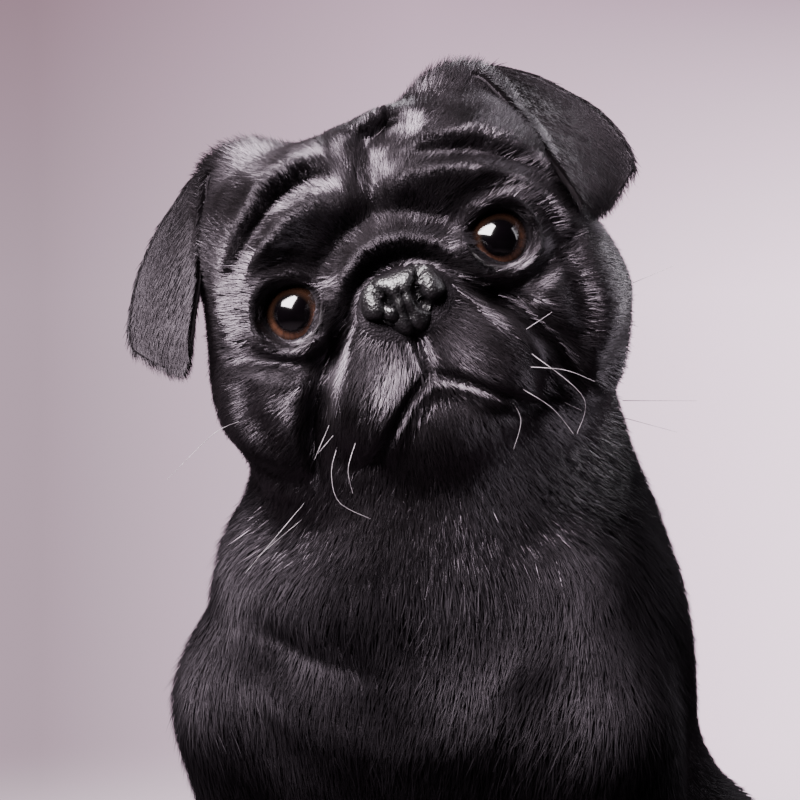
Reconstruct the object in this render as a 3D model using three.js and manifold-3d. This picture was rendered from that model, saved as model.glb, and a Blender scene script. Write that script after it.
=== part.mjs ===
// A sitting pug, life size, in millimetres. It faces -Y, its left side is +X and it rests on z = 0.
// The form is one smooth distance field. It is traced into closed surfaces, thinned, and cut into nodes.
import * as THREE from "three";
import { mergeVertices } from "three/addons/utils/BufferGeometryUtils.js";
import Module from "manifold-3d";

const wasm = await Module();
wasm.setup();

const GAP = 0.3; // clear space between neighbouring nodes
const HEAD_AT = [4, -88, 330]; // the point midway between the eyes
const HEAD_YAW = 20; // the face turns to the dog's left
const HEAD_ROLL = -20; // and leans towards its right shoulder
const HEAD_PITCH = -5;
const EYE_AT = [33.2, -5.5, 0]; // left eye, in the head's frame
const EYE_RADIUS = 11.6;
const EYE_OUT = 9; // degrees each eye looks outwards
const EYE_OPENING = [10.2, 9.4]; // half width and half height between the lids
const LID_THICKNESS = 1.6;
const LID_RING = [12.4, 2.0, 2.1]; // radius round the eye, height and width
const LID_CREASE = [17.2, -2.2, 2.6];
const FORE_PAW = [57, -80, 13];
const HIND_PAW = [83, 24, 13];
const FORE_SPLAY = 0.9;
const HIND_SPLAY = 1.5;
const TOE_PITCH = 9.6;
const TOE_RADIUS = 7.2;
const CLAW_LENGTH = 11;
const CLAW_RADIUS = 2.5;
const TAIL_ROOT = [0, 140, 92];
const TAIL_CURL_AT = [6, 158, 124]; // middle of the curl
const TAIL_CURL_RADIUS = [21, 11]; // at its start and at its tip
const TAIL_THICKNESS = [15.5, 9]; // radius of the tail itself
const TAIL_TURNS = 1.3;
const TAIL_START = -62; // degrees
const TAIL_SHIFT = -26; // the curl steps sideways as it winds
const EAR_THICKNESS = 3.6;
const EAR_BOW = 5; // how far the flap bulges between its edges

const HEAD_CELL = 2.2; // spacing of the traced samples
const NOSE_CELL = 1.2;
const BODY_CELL = 4.4;
const TAIL_CELL = 3;
const HEAD_TRIANGLES = 4900;
const NOSE_TRIANGLES = 460;
const BODY_TRIANGLES = 3300;
const TAIL_TRIANGLES = 420;
const FACE_CARE = 9; // how much more the front of the head keeps than its back
const NECK_PLANE = { at: [0, 30, -62], normal: [0, 0.28, -0.96] }; // in the head's frame
const COLLAR_PLANE = { at: [0, -30, 226], normal: [0, -0.3, 0.95] };
const LOIN_PLANE = { at: [0, 62, 120], normal: [0, 0.86, -0.5] };
const FLOOR_PLANE = { at: [0, 0, 0], normal: [0, 0, 1] };

// Folds of the face as lines in the head's x and z, with a height, a width and how sharply the ends fade.
// A negative height is a crease.
const MIRRORED_FOLDS = [
  [[[22, -13], [33, -23], [41, -37], [44, -54]], -5.6, 3.4, 4],
  [[[24, -11], [35, -17], [48, -12], [62, -3]], -2.8, 4.0, 2],
  [[[74, -30], [65, -42], [48, -54]], -3.6, 3.6, 4],
];
const ARCHED_FOLDS = [
  [[[0, 12], [7, 10.5], [14, 6], [28, -7], [40, -22]], 5.5, 5.4, 2],
  [[[0, 4.2], [7, 3.2], [13, 0], [18, -8], [24, -15]], -4.5, 2.8, 4],
  [[[0, 20], [11, 17], [22, 10], [30, 0]], -4.6, 4.6, 2],
];
const SINGLE_FOLDS = [
  [[[0, 17], [1, 30], [4, 42]], -4.5, 5.0, 2],
  [[[3, 42], [13, 44], [22, 41]], -3.5, 4.6, 2],
  [[[5, 26], [14, 29], [26, 26.5], [40, 21], [53, 10], [60, -6]], 4.2, 5.6, 2],
  [[[-5, 25], [-14, 30], [-26, 28], [-40, 20], [-53, 8], [-60, -8]], 4.4, 5.6, 2],
  [[[12, 37], [24, 39], [38, 35], [52, 25], [61, 10]], 3.4, 5.4, 2],
  [[[-7, 44], [-17, 45], [-29, 41], [-40, 32], [-50, 20], [-58, 6]], 4.4, 5.2, 2],
  [[[8, 33], [22, 33], [36, 29], [50, 19], [59, 4]], -3.6, 3.4, 2],
  [[[-7, 36], [-18, 37.5], [-29, 34.5], [-40, 26], [-51, 14], [-58, -2]], -4.0, 3.6, 2],
  [[[-8, 50], [2, 49], [12, 52], [24, 50]], 3.0, 4.4, 2],
  [[[50, 4], [54, -10], [52, -30], [46, -46]], -3.0, 4.4, 2],
  [[[-56, -14], [-58, -26], [-53, -42]], -2.0, 4.4, 2],
];
const MOUTH_LINE = [[0, -20], [0, -33], [9, -38], [19, -47], [27, -53], [34, -54]];
const NOSTRIL = [[5.6, -4.6], [4.6, -7.5], [4.8, -10.8], [7.2, -13], [14, -12.2]];

// Left ear flap from its root to its tip: middle of the flap, direction across it, half its width.
const EAR_ROWS = [
  [[38, 30, 42], [0.15, 0.98, 0.05], 19],
  [[47, 27, 55], [0.2, 0.97, 0.1], 20],
  [[57, 23, 48], [0.25, 0.96, 0.05], 19],
  [[67, 18, 34], [0.34, 0.93, 0.15], 17.5],
  [[76, 13, 19], [0.62, 0.76, 0.2], 17],
  [[77.5, 9, 6], [0.62, 0.77, 0.12], 15],
  [[76, 6, -4.5], [0.62, 0.77, 0.1], 8],
];

const COAT = new THREE.MeshStandardMaterial({ color: 0x1c191d, roughness: 0.55, metalness: 0 });
const LEATHER = new THREE.MeshStandardMaterial({ color: 0x17161a, roughness: 0.35, metalness: 0 });
const EYE = new THREE.MeshStandardMaterial({ color: 0x24120a, roughness: 0.05, metalness: 0 });
const HORN = new THREE.MeshStandardMaterial({ color: 0x131115, roughness: 0.4, metalness: 0 });

const minus = (a, b) => [a[0] - b[0], a[1] - b[1], a[2] - b[2]];
const plus = (a, b, k = 1) => [a[0] + b[0] * k, a[1] + b[1] * k, a[2] + b[2] * k];
const dot = (a, b) => a[0] * b[0] + a[1] * b[1] + a[2] * b[2];
const cross = (a, b) => [
  a[1] * b[2] - a[2] * b[1],
  a[2] * b[0] - a[0] * b[2],
  a[0] * b[1] - a[1] * b[0],
];
const unit = (a) => {
  const length = Math.hypot(...a);
  return [a[0] / length, a[1] / length, a[2] / length];
};
const clamp = (x, low, high) => Math.min(Math.max(x, low), high);
const mix = (a, b, t) => a + (b - a) * t;
const folded = ([x, y, z]) => [Math.abs(x), y, z];
const bump = (x) => Math.exp(-x * x);

// Turns are rows of three axes, used on the right of a point.
function turn(axis, degrees) {
  const c = Math.cos(THREE.MathUtils.degToRad(degrees));
  const s = Math.sin(THREE.MathUtils.degToRad(degrees));
  if (axis === "x") return [[1, 0, 0], [0, c, -s], [0, s, c]];
  if (axis === "y") return [[c, 0, s], [0, 1, 0], [-s, 0, c]];
  return [[c, -s, 0], [s, c, 0], [0, 0, 1]];
}
function turned([x, y, z], m) {
  return [
    x * m[0][0] + y * m[1][0] + z * m[2][0],
    x * m[0][1] + y * m[1][1] + z * m[2][1],
    x * m[0][2] + y * m[1][2] + z * m[2][2],
  ];
}
const turnedBack = (p, m) => [dot(p, m[0]), dot(p, m[1]), dot(p, m[2])];
const product = (a, b) => a.map((row) => turned(row, b));

const HEAD_TURN = product(product(turn("z", HEAD_YAW), turn("y", HEAD_ROLL)), turn("x", HEAD_PITCH));
const EYE_TURN = turn("z", EYE_OUT);
const FLEW_TURN = turn("y", -14);
const RIB_TURN = turn("x", -40);
const LOIN_TURN = turn("x", -46);
const SHOULDER_TURN = turn("x", 18);
const toHead = (p) => turned(minus(p, HEAD_AT), HEAD_TURN);
const fromHead = (p) => plus(turnedBack(p, HEAD_TURN), HEAD_AT);
const NAPE = fromHead([0, 40, -12]);
const THROAT = fromHead([0, 30, -46]);

// Distances from a point to simple solids; negative inside.
function ellipsoid(p, centre, radii, twist) {
  const q = twist ? turned(minus(p, centre), twist) : minus(p, centre);
  const near = Math.hypot(q[0] / radii[0], q[1] / radii[1], q[2] / radii[2]);
  const steep = Math.hypot(q[0] / radii[0] ** 2, q[1] / radii[1] ** 2, q[2] / radii[2] ** 2);
  return (near * (near - 1)) / Math.max(steep, 1e-6);
}
function roundBox(p, centre, half, radius) {
  const q = minus(p, centre).map((x, i) => Math.abs(x) - half[i]);
  const outside = Math.hypot(...q.map((x) => Math.max(x, 0)));
  return outside + Math.min(Math.max(...q), 0) - radius;
}
function limb(p, from, to, fromRadius, toRadius) {
  const along = minus(to, from);
  const t = clamp(dot(minus(p, from), along) / dot(along, along), 0, 1);
  return Math.hypot(...minus(p, plus(from, along, t))) - mix(fromRadius, toRadius, t);
}
// Joins two solids with a fillet of about k.
function blend(a, b, k) {
  const h = clamp(0.5 + (0.5 * (b - a)) / k, 0, 1);
  return b + (a - b) * h - k * h * (1 - h);
}
const carve = (solid, tool, k) => -blend(-solid, tool, k);

// How far a flat point is from a line of points, and how far along the line that is, 0 to 1.
function trace(x, z, points) {
  let away = Infinity;
  let along = 0;
  for (let i = 0; i + 1 < points.length; i++) {
    const [ax, az] = points[i];
    const dx = points[i + 1][0] - ax;
    const dz = points[i + 1][1] - az;
    const t = clamp(((x - ax) * dx + (z - az) * dz) / (dx * dx + dz * dz), 0, 1);
    const d = Math.hypot(x - ax - t * dx, z - az - t * dz);
    if (d < away) {
      away = d;
      along = (i + t) / (points.length - 1);
    }
  }
  return [away, along];
}
function fold(x, z, [points, height, width, fade], arched) {
  const [away, along] = trace(x, z, points);
  const end = arched ? along : Math.abs(2 * along - 1);
  return height * bump(away / width) * (1 - 0.85 * end ** fade);
}

function foldPush([x, y, z], away) {
  if (y > 28 || Math.abs(away) > 20) return 0;
  let push = 0;
  for (const row of MIRRORED_FOLDS) push += fold(Math.abs(x), z, row, false);
  for (const row of ARCHED_FOLDS) push += fold(Math.abs(x), z, row, true);
  for (const row of SINGLE_FOLDS) push += fold(x, z, row, false);
  return push * clamp((28 - y) / 20, 0, 1);
}

// The head without its ears and nose pad, in its own frame.
function headDistance(p) {
  const s = folded(p);
  let d = roundBox(s, [0, 34, 2], [30, 20, 18], 33);
  d = blend(d, ellipsoid(s, [42, 18, -25], [29, 33, 36]), 14); // cheek
  d = blend(d, ellipsoid(s, [25, -1, 21], [22, 15, 16]), 9); // brow
  d = blend(d, ellipsoid(s, [38, 5, -1], [19, 17, 17]), 8); // round the eye
  d = blend(d, roundBox(s, [0, -6, -20], [17, 8, 12], 13), 8); // muzzle
  d = blend(d, ellipsoid(s, [18.5, -13, -32], [18.5, 17, 21.5], FLEW_TURN), 4); // upper lip
  d = blend(d, ellipsoid(s, [0, -9.5, -48], [24, 17.5, 16]), 2); // chin
  d = blend(d, ellipsoid(s, [0, 27, -38], [46, 38, 27]), 12); // throat
  d -= foldPush(p, d);
  const [lips] = trace(s[0], p[2], MOUTH_LINE);
  d += 3.2 * bump(lips / 1.7) * clamp((4 - p[1]) / 10, 0, 1);
  const e = turned(minus(s, EYE_AT), EYE_TURN);
  const fromEye = Math.hypot(...e);
  d = blend(d, fromEye - EYE_RADIUS - LID_THICKNESS, 3);
  const round = Math.hypot(e[0], e[2]);
  for (const [radius, height, width] of [LID_RING, LID_CREASE]) {
    d -= height * bump((round - radius) / width) * clamp((4 - e[1]) / 6, 0, 1);
  }
  const across = Math.hypot(e[0] / EYE_OPENING[0], (e[2] + 0.2) / EYE_OPENING[1]);
  d = carve(d, Math.max((across - 1) * 9, e[1]), 1.4);
  return carve(d, fromEye - EYE_RADIUS - GAP / 2, 0.4);
}

// The nose pad, in the head's frame.
function noseDistance(p) {
  const s = folded(p);
  let d = roundBox(s, [0, -23.5, -6.6], [6.2, 4, 1.6], 6);
  d = blend(d, ellipsoid(s, [8.4, -25.5, -8.2], [5.4, 7.6, 6.2]), 3);
  d = blend(d, ellipsoid(s, [0, -25, -15], [6.4, 6.4, 5.2]), 3);
  const [slit] = trace(s[0], s[2], NOSTRIL);
  const [hole] = trace(s[0], s[2], [[5, -8], [5.4, -10.6]]);
  const [furrow] = trace(s[0], s[2], [[0, -6], [0, -22]]);
  return d + 2.8 * bump(slit / 1.15) + 2.2 * bump(hole / 1.8) + 1.3 * bump(furrow / 0.9);
}

function toeAt([x, y, z], splay, i) {
  const aside = i - 1.5;
  return [x + aside * TOE_PITCH + splay, y - 21 + Math.abs(aside) * 4.2, z - 6.2];
}

// One foot: a pad and four toes that fan out from it.
function pawDistance(s, at, splay) {
  let d = ellipsoid(s, plus(at, [0, 2, 0.5]), [19, 24, 14.5]);
  for (let i = 0; i < 4; i++) {
    const root = plus(at, [(i - 1.5) * 7.5, -4, -1]);
    d = blend(d, limb(s, root, toeAt(at, splay, i), 8, TOE_RADIUS), 2.4);
  }
  return d;
}

function torsoDistance(p, s) {
  let d = ellipsoid(s, [0, 2, 178], [78, 88, 84], RIB_TURN);
  d = blend(d, ellipsoid(s, [0, 72, 112], [74, 92, 74], LOIN_TURN), 30);
  d = blend(d, ellipsoid(s, [0, 118, 60], [68, 56, 61.5]), 24); // rump
  d = blend(d, ellipsoid(s, [0, -62, 188], [58, 44, 56]), 22); // forechest
  d = blend(d, limb(p, NAPE, [0, -12, 222], 58, 72), 24);
  d = blend(d, limb(p, THROAT, [0, -58, 205], 42, 52), 18);
  const up = dot(minus(p, [0, -40, 222]), [0, -0.25, 0.97]);
  const side = clamp(0.5 - p[0] / 70, 0.2, 1) * clamp((60 - p[1]) / 60, 0.4, 1);
  d -= (4.5 * bump((up - 17) / 12) - 4.5 * bump(up / 7)) * side; // roll of loose skin at the collar
  const [ruff] = trace(p[0], p[2], [[-50, 205], [-22, 186], [10, 178], [38, 186], [64, 208]]);
  return d - 3.5 * bump(ruff / 9) * clamp((-50 - p[1]) / 25, 0, 1);
}

function foreLegDistance(s) {
  let d = limb(s, [59, -34, 128], [56, -58, 52], 24, 15.5);
  d = blend(d, limb(s, [56, -58, 52], [57, -66, 22], 15.5, 15), 8);
  return blend(d, pawDistance(s, FORE_PAW, FORE_SPLAY), 9);
}

function hindLegDistance(s) {
  const thigh = limb(s, [44, 116, 84], [70, 46, 84], 48, 36);
  return blend(thigh, limb(s, [74, 40, 72], [70, 108, 26], 27, 17), 16);
}

const hindFootDistance = (s) =>
  blend(limb(s, [70, 112, 15], [80, 44, 13.8], 15.5, 14.5), pawDistance(s, HIND_PAW, HIND_SPLAY), 9);

// Neck, torso, legs and feet, in the dog's frame.
function bodyDistance(p) {
  const s = folded(p);
  let d = torsoDistance(p, s);
  d = blend(d, ellipsoid(s, [54, -34, 190], [28, 44, 62], SHOULDER_TURN), 20);
  d = blend(d, limb(s, [57, -58, 182], [60, -30, 130], 31, 26), 16); // upper arm
  d = blend(d, foreLegDistance(s), 12);
  d = blend(d, hindLegDistance(s), 22);
  return blend(d, hindFootDistance(s), 7);
}

const skinDistance = (p) => blend(bodyDistance(p), headDistance(toHead(p)), 12);

const TAIL_POINTS = Array.from({ length: 26 }, (_, i) => {
  const t = i / 25;
  const angle = THREE.MathUtils.degToRad(TAIL_START + 360 * TAIL_TURNS * t);
  const reach = mix(...TAIL_CURL_RADIUS, t);
  const at = plus(TAIL_CURL_AT, [TAIL_SHIFT * t, reach * Math.cos(angle), reach * Math.sin(angle)]);
  return { at, radius: mix(...TAIL_THICKNESS, t) };
});
function tailDistance(p) {
  let d = limb(p, TAIL_ROOT, TAIL_POINTS[0].at, 20, TAIL_THICKNESS[0]);
  for (let i = 0; i + 1 < TAIL_POINTS.length; i++) {
    const [a, b] = [TAIL_POINTS[i], TAIL_POINTS[i + 1]];
    d = Math.min(d, limb(p, a.at, b.at, a.radius, b.radius));
  }
  return d;
}

const planeDistance = (p, { at, normal }) => dot(minus(p, at), unit(normal));
const headPlane = {
  at: fromHead(NECK_PLANE.at),
  normal: minus(fromHead(NECK_PLANE.normal), HEAD_AT),
};

// Traces the zero surface of a field through a box of cells, each split into six tetrahedra.
const CORNERS = [[0, 0, 0], [1, 0, 0], [1, 1, 0], [0, 1, 0], [0, 0, 1], [1, 0, 1], [1, 1, 1], [0, 1, 1]];
const TETRAHEDRA = [[0, 5, 1, 6], [0, 1, 2, 6], [0, 2, 3, 6], [0, 3, 7, 6], [0, 7, 4, 6], [0, 4, 5, 6]];
const BLOCK = 5; // samples along a block; a block far from the surface takes one value throughout
function sampleField(field, values, count, low, cell) {
  const reach = BLOCK * cell * 1.5 + 6;
  const blocks = count.map((n) => Math.ceil(n / BLOCK));
  for (let block = 0; block < blocks[0] * blocks[1] * blocks[2]; block++) {
    const corner = [
      Math.floor(block / (blocks[1] * blocks[2])) * BLOCK,
      (Math.floor(block / blocks[2]) % blocks[1]) * BLOCK,
      (block % blocks[2]) * BLOCK,
    ];
    const middle = field(corner.map((n, axis) => low[axis] + (n + BLOCK / 2) * cell));
    const [iEnd, jEnd, kEnd] = corner.map((n, axis) => Math.min(n + BLOCK, count[axis]));
    for (let i = corner[0]; i < iEnd; i++) {
      for (let j = corner[1]; j < jEnd; j++) {
        for (let k = corner[2]; k < kEnd; k++) {
          const n = (i * count[1] + j) * count[2] + k;
          const near = Math.abs(middle) < reach;
          values[n] = near ? field([low[0] + i * cell, low[1] + j * cell, low[2] + k * cell]) : middle;
        }
      }
    }
  }
}
function traceSurface(field, low, high, cell) {
  const count = low.map((x, i) => Math.ceil((high[i] - x) / cell) + 1);
  const index = (i, j, k) => (i * count[1] + j) * count[2] + k;
  const place = (n) => {
    const k = n % count[2];
    const j = Math.floor(n / count[2]) % count[1];
    const i = Math.floor(n / (count[1] * count[2]));
    return [low[0] + i * cell, low[1] + j * cell, low[2] + k * cell];
  };
  const values = new Float64Array(count[0] * count[1] * count[2]);
  sampleField(field, values, count, low, cell);
  const points = [];
  const faces = [];
  const known = new Map();
  const crossing = (a, b) => {
    const [m, n] = a < b ? [a, b] : [b, a];
    const key = m * values.length + n;
    if (!known.has(key)) {
      const t = clamp(values[m] / (values[m] - values[n]), 0.08, 0.92);
      const start = place(m);
      known.set(key, points.push(plus(start, minus(place(n), start), t)) - 1);
    }
    return known.get(key);
  };
  const addFace = (a, b, c, outwards) => {
    const normal = cross(minus(points[b], points[a]), minus(points[c], points[a]));
    faces.push(dot(normal, outwards) > 0 ? [a, b, c] : [a, c, b]);
  };
  const cutCorner = (one, others, outwards) =>
    addFace(...others.map((other) => crossing(one, other)), outwards);
  const cutAcross = ([a, b], [c, d], outwards) => {
    const ring = [crossing(a, c), crossing(a, d), crossing(b, d), crossing(b, c)];
    addFace(ring[0], ring[1], ring[2], outwards);
    addFace(ring[0], ring[2], ring[3], outwards);
  };
  for (let i = 0; i + 1 < count[0]; i++) {
    for (let j = 0; j + 1 < count[1]; j++) {
      for (let k = 0; k + 1 < count[2]; k++) {
        const cube = CORNERS.map(([x, y, z]) => index(i + x, j + y, k + z));
        if (cube.every((n) => values[n] < 0) || cube.every((n) => values[n] >= 0)) continue;
        for (const tetrahedron of TETRAHEDRA) {
          const corners = tetrahedron.map((n) => cube[n]);
          const inside = corners.filter((n) => values[n] < 0);
          const outside = corners.filter((n) => values[n] >= 0);
          if (!inside.length || !outside.length) continue;
          const middle = (list) =>
            list.reduce((sum, n) => plus(sum, place(n), 1 / list.length), [0, 0, 0]);
          const outwards = minus(middle(outside), middle(inside));
          if (inside.length === 1) cutCorner(inside[0], outside, outwards);
          else if (outside.length === 1) cutCorner(outside[0], inside, outwards);
          else cutAcross(inside, outside, outwards);
        }
      }
    }
  }
  return { points, faces };
}

// A heap that hands back the entry with the lowest cost.
class Queue {
  entries = [];

  push(entry) {
    const list = this.entries;
    let n = list.push(entry) - 1;
    while (n > 0) {
      const parent = (n - 1) >> 1;
      if (list[parent].cost <= list[n].cost) break;
      [list[parent], list[n]] = [list[n], list[parent]];
      n = parent;
    }
  }

  pop() {
    const list = this.entries;
    const first = list[0];
    const last = list.pop();
    if (!list.length) return first;
    list[0] = last;
    let n = 0;
    for (;;) {
      const [left, right] = [2 * n + 1, 2 * n + 2];
      let least = n;
      if (left < list.length && list[left].cost < list[least].cost) least = left;
      if (right < list.length && list[right].cost < list[least].cost) least = right;
      if (least === n) return first;
      [list[least], list[n]] = [list[n], list[least]];
      n = least;
    }
  }
}

// Thins a closed surface: the edge whose loss moves the surface least goes first.
function thin({ points, faces }, target, care = () => 1) {
  const around = points.map(() => new Set());
  faces.forEach((face, f) => face.forEach((v) => around[v].add(f)));
  const errors = points.map(() => new Float64Array(10));
  for (const face of faces) {
    const [a, b, c] = face.map((v) => points[v]);
    const raw = cross(minus(b, a), minus(c, a));
    const area = Math.hypot(...raw);
    if (area < 1e-9) continue;
    const [x, y, z] = unit(raw);
    const w = -dot([x, y, z], a);
    const weight = area * care(a);
    const terms = [x * x, x * y, x * z, x * w, y * y, y * z, y * w, z * z, z * w, w * w];
    for (const v of face) terms.forEach((term, i) => (errors[v][i] += term * weight));
  }
  const costAt = (q, [x, y, z]) =>
    q[0] * x * x + q[4] * y * y + q[7] * z * z + q[9] +
    2 * (q[1] * x * y + q[2] * x * z + q[5] * y * z + q[3] * x + q[6] * y + q[8] * z);
  const bestPlace = (q, a, b) => {
    const middle = plus(a, minus(b, a), 0.5);
    const rows = [[q[0], q[1], q[2]], [q[1], q[4], q[5]], [q[2], q[5], q[7]]];
    const size = dot(rows[0], cross(rows[1], rows[2]));
    const choices = [a, b, middle];
    if (Math.abs(size) > 1e-3 * (q[0] + q[4] + q[7]) ** 3 * 1e-2) {
      const side = [-q[3], -q[6], -q[8]];
      const solved = [
        dot(side, cross(rows[1], rows[2])) / size,
        dot(rows[0], cross(side, rows[2])) / size,
        dot(rows[0], cross(rows[1], side)) / size,
      ];
      if (Math.hypot(...minus(solved, middle)) < 2 * Math.hypot(...minus(a, b))) choices.push(solved);
    }
    return choices.reduce((best, each) => (costAt(q, each) < costAt(q, best) ? each : best));
  };
  const ages = new Uint32Array(points.length);
  const queue = new Queue();
  const propose = (a, b) => {
    const q = errors[a].map((x, i) => x + errors[b][i]);
    const place = bestPlace(q, points[a], points[b]);
    const span = minus(points[a], points[b]);
    const cost = costAt(q, place) + 1e-4 * care(place) * dot(span, span) ** 1.5;
    queue.push({ cost, a, b, place, ages: [ages[a], ages[b]] });
  };
  const neighbours = (v) => {
    const found = new Set([...around[v]].flatMap((f) => faces[f]));
    found.delete(v);
    return found;
  };
  const turnsOver = (v, gone, place) =>
    [...around[v]].some((f) => {
      if (faces[f].includes(gone)) return false;
      const old = faces[f].map((n) => points[n]);
      const next = faces[f].map((n) => (n === v ? place : points[n]));
      const before = cross(minus(old[1], old[0]), minus(old[2], old[0]));
      const after = cross(minus(next[1], next[0]), minus(next[2], next[0]));
      return dot(before, after) < 0.2 * Math.hypot(...before) * Math.hypot(...after) + 1e-9;
    });
  points.forEach((_, v) => neighbours(v).forEach((n) => n > v && propose(v, n)));
  let left = faces.length;
  while (left > target && queue.entries.length) {
    const { a, b, place, ages: then } = queue.pop();
    if (!around[a].size || !around[b].size || ages[a] !== then[0] || ages[b] !== then[1]) continue;
    const near = neighbours(a);
    if ([...neighbours(b)].filter((n) => near.has(n)).length !== 2) continue;
    if (turnsOver(a, b, place) || turnsOver(b, a, place)) continue;
    points[a] = place;
    errors[b].forEach((x, i) => (errors[a][i] += x));
    for (const f of around[b]) {
      if (faces[f].includes(a)) {
        faces[f].forEach((v) => v !== b && around[v].delete(f));
        left -= 1;
      } else {
        faces[f] = faces[f].map((v) => (v === b ? a : v));
        around[a].add(f);
      }
    }
    around[b].clear();
    ages[a] += 1;
    neighbours(a).forEach((n) => propose(a, n));
  }
  const kept = new Set(around.flatMap((list) => [...list]));
  return { points, faces: faces.filter((_, f) => kept.has(f)) };
}

function solidFrom({ points, faces }) {
  const used = [...new Set(faces.flat())];
  const order = new Map(used.map((v, i) => [v, i]));
  const vertProperties = new Float32Array(used.flatMap((v) => points[v]));
  const triVerts = new Uint32Array(faces.flatMap((face) => face.map((v) => order.get(v))));
  return new wasm.Manifold(new wasm.Mesh({ numProp: 3, vertProperties, triVerts }));
}
function solidOf(geometry) {
  const bare = new THREE.BufferGeometry();
  const source = geometry.index ? geometry.toNonIndexed() : geometry;
  bare.setAttribute("position", source.getAttribute("position"));
  const { attributes, index } = mergeVertices(bare, 1e-4);
  const vertProperties = attributes.position.array;
  return new wasm.Manifold(
    new wasm.Mesh({ numProp: 3, vertProperties, triVerts: new Uint32Array(index.array) }),
  );
}
const traced = (field, low, high, cell, target, care) =>
  solidFrom(thin(traceSurface(field, low, high, cell), target, care));

// The part of a solid on the side of a plane its normal points to, or away from it.
const above = (solid, { at, normal }) => {
  const up = unit(normal);
  return solid.trimByPlane(up, dot(up, at) + GAP / 2);
};
const below = (solid, { at, normal }) => above(solid, { at, normal: normal.map((x) => -x) });

// A box between two corners for the dog's left (side 1) or right (side -1), grown on every face.
function block(low, high, side, grow = 0) {
  const size = minus(high, low).map((x) => x + 2 * grow);
  const middle = plus(low, minus(high, low), 0.5);
  const geometry = new THREE.BoxGeometry(...size);
  geometry.translate(middle[0] * side, middle[1], middle[2]);
  return solidOf(geometry);
}

function largest(solid) {
  return solid.decompose().reduce((best, each) => (each.volume() > best.volume() ? each : best));
}

// A surface lofted through closed rings of points, with both ends shut.
function lofted(rings) {
  const size = rings[0].length;
  const points = rings.flat();
  const faces = [];
  for (let r = 0; r + 1 < rings.length; r++) {
    for (let i = 0; i < size; i++) {
      const [a, b] = [r * size + i, r * size + ((i + 1) % size)];
      faces.push([a, b, b + size], [a, b + size, a + size]);
    }
  }
  const last = points.length - size;
  for (let i = 1; i + 1 < size; i++) {
    faces.push([0, i + 1, i], [last, last + i, last + i + 1]);
  }
  const solid = solidFrom({ points, faces });
  if (solid.volume() > 0) return solid;
  return solidFrom({ points, faces: faces.map(([a, b, c]) => [a, c, b]) });
}

// A smooth value through the rows at t, 0 to 1.
function spline(rows, t) {
  const last = rows.length - 1;
  const x = clamp(t, 0, 1) * last;
  const i = Math.min(Math.floor(x), last - 1);
  const f = x - i;
  const [a, b, c, d] = [-1, 0, 1, 2].map((k) => rows[clamp(i + k, 0, last)]);
  return b.map(
    (_, n) =>
      0.5 *
      (2 * b[n] + (c[n] - a[n]) * f + (2 * a[n] - 5 * b[n] + 4 * c[n] - d[n]) * f ** 2 +
        (3 * b[n] - a[n] - 3 * c[n] + d[n]) * f ** 3),
  );
}

// The left ear flap: a bowed sheet that leaves the head, turns over and hangs to its tip.
function earFlap(side, grow = 0) {
  const [steps, across] = [15, 6];
  const at = (u) => spline(EAR_ROWS.map((row) => row[0]), u);
  const rings = Array.from({ length: steps + 1 }, (_, i) => {
    const u = i / steps;
    const wide = unit(spline(EAR_ROWS.map((row) => row[1]), u));
    const half = spline(EAR_ROWS.map((row) => [row[2]]), u)[0] + grow;
    const out = unit(cross(wide, minus(at(Math.min(u + 0.02, 1)), at(Math.max(u - 0.02, 0)))));
    const edge = (v, face) => {
      const thick = EAR_THICKNESS / 2 * Math.sqrt(1.04 - v * v) * clamp((1.06 - u) * 6, 0.25, 1) + grow;
      const lift = EAR_BOW * (1 - v * v) - 2 + face * thick;
      const point = plus(plus(at(u), wide, half * v), out, lift);
      return fromHead([point[0] * side, point[1], point[2]]);
    };
    const vs = Array.from({ length: across + 1 }, (_, j) => (2 * j) / across - 1);
    return [...vs.map((v) => edge(v, 1)), ...vs.reverse().map((v) => edge(v, -1))];
  });
  return lofted(rings);
}

// One claw: a curved taper out of the front of a toe.
function claw([x, y, z], side, grow = 0) {
  const rings = Array.from({ length: 4 }, (_, i) => {
    const t = i / 3;
    const middle = [x, y - 3 - CLAW_LENGTH * t, z + 2.4 - 6.4 * t * t];
    const radius = mix(CLAW_RADIUS, 0.6, t) + grow;
    return Array.from({ length: 6 }, (_, j) => {
      const angle = (j / 6) * 2 * Math.PI;
      const [px, pz] = [Math.cos(angle) * radius * 0.8, Math.sin(angle) * radius];
      return [(middle[0] + px) * side, middle[1] - t * grow + pz * t * 0.6, middle[2] + pz];
    });
  });
  return lofted(rings);
}

function eyeBall(side, grow = 0) {
  const geometry = new THREE.IcosahedronGeometry(EYE_RADIUS + grow, 3);
  geometry.translate(...fromHead([EYE_AT[0] * side, EYE_AT[1], EYE_AT[2]]));
  return solidOf(geometry);
}

const SIDES = { left: 1, right: -1 };
const nodes = new Map();

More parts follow.
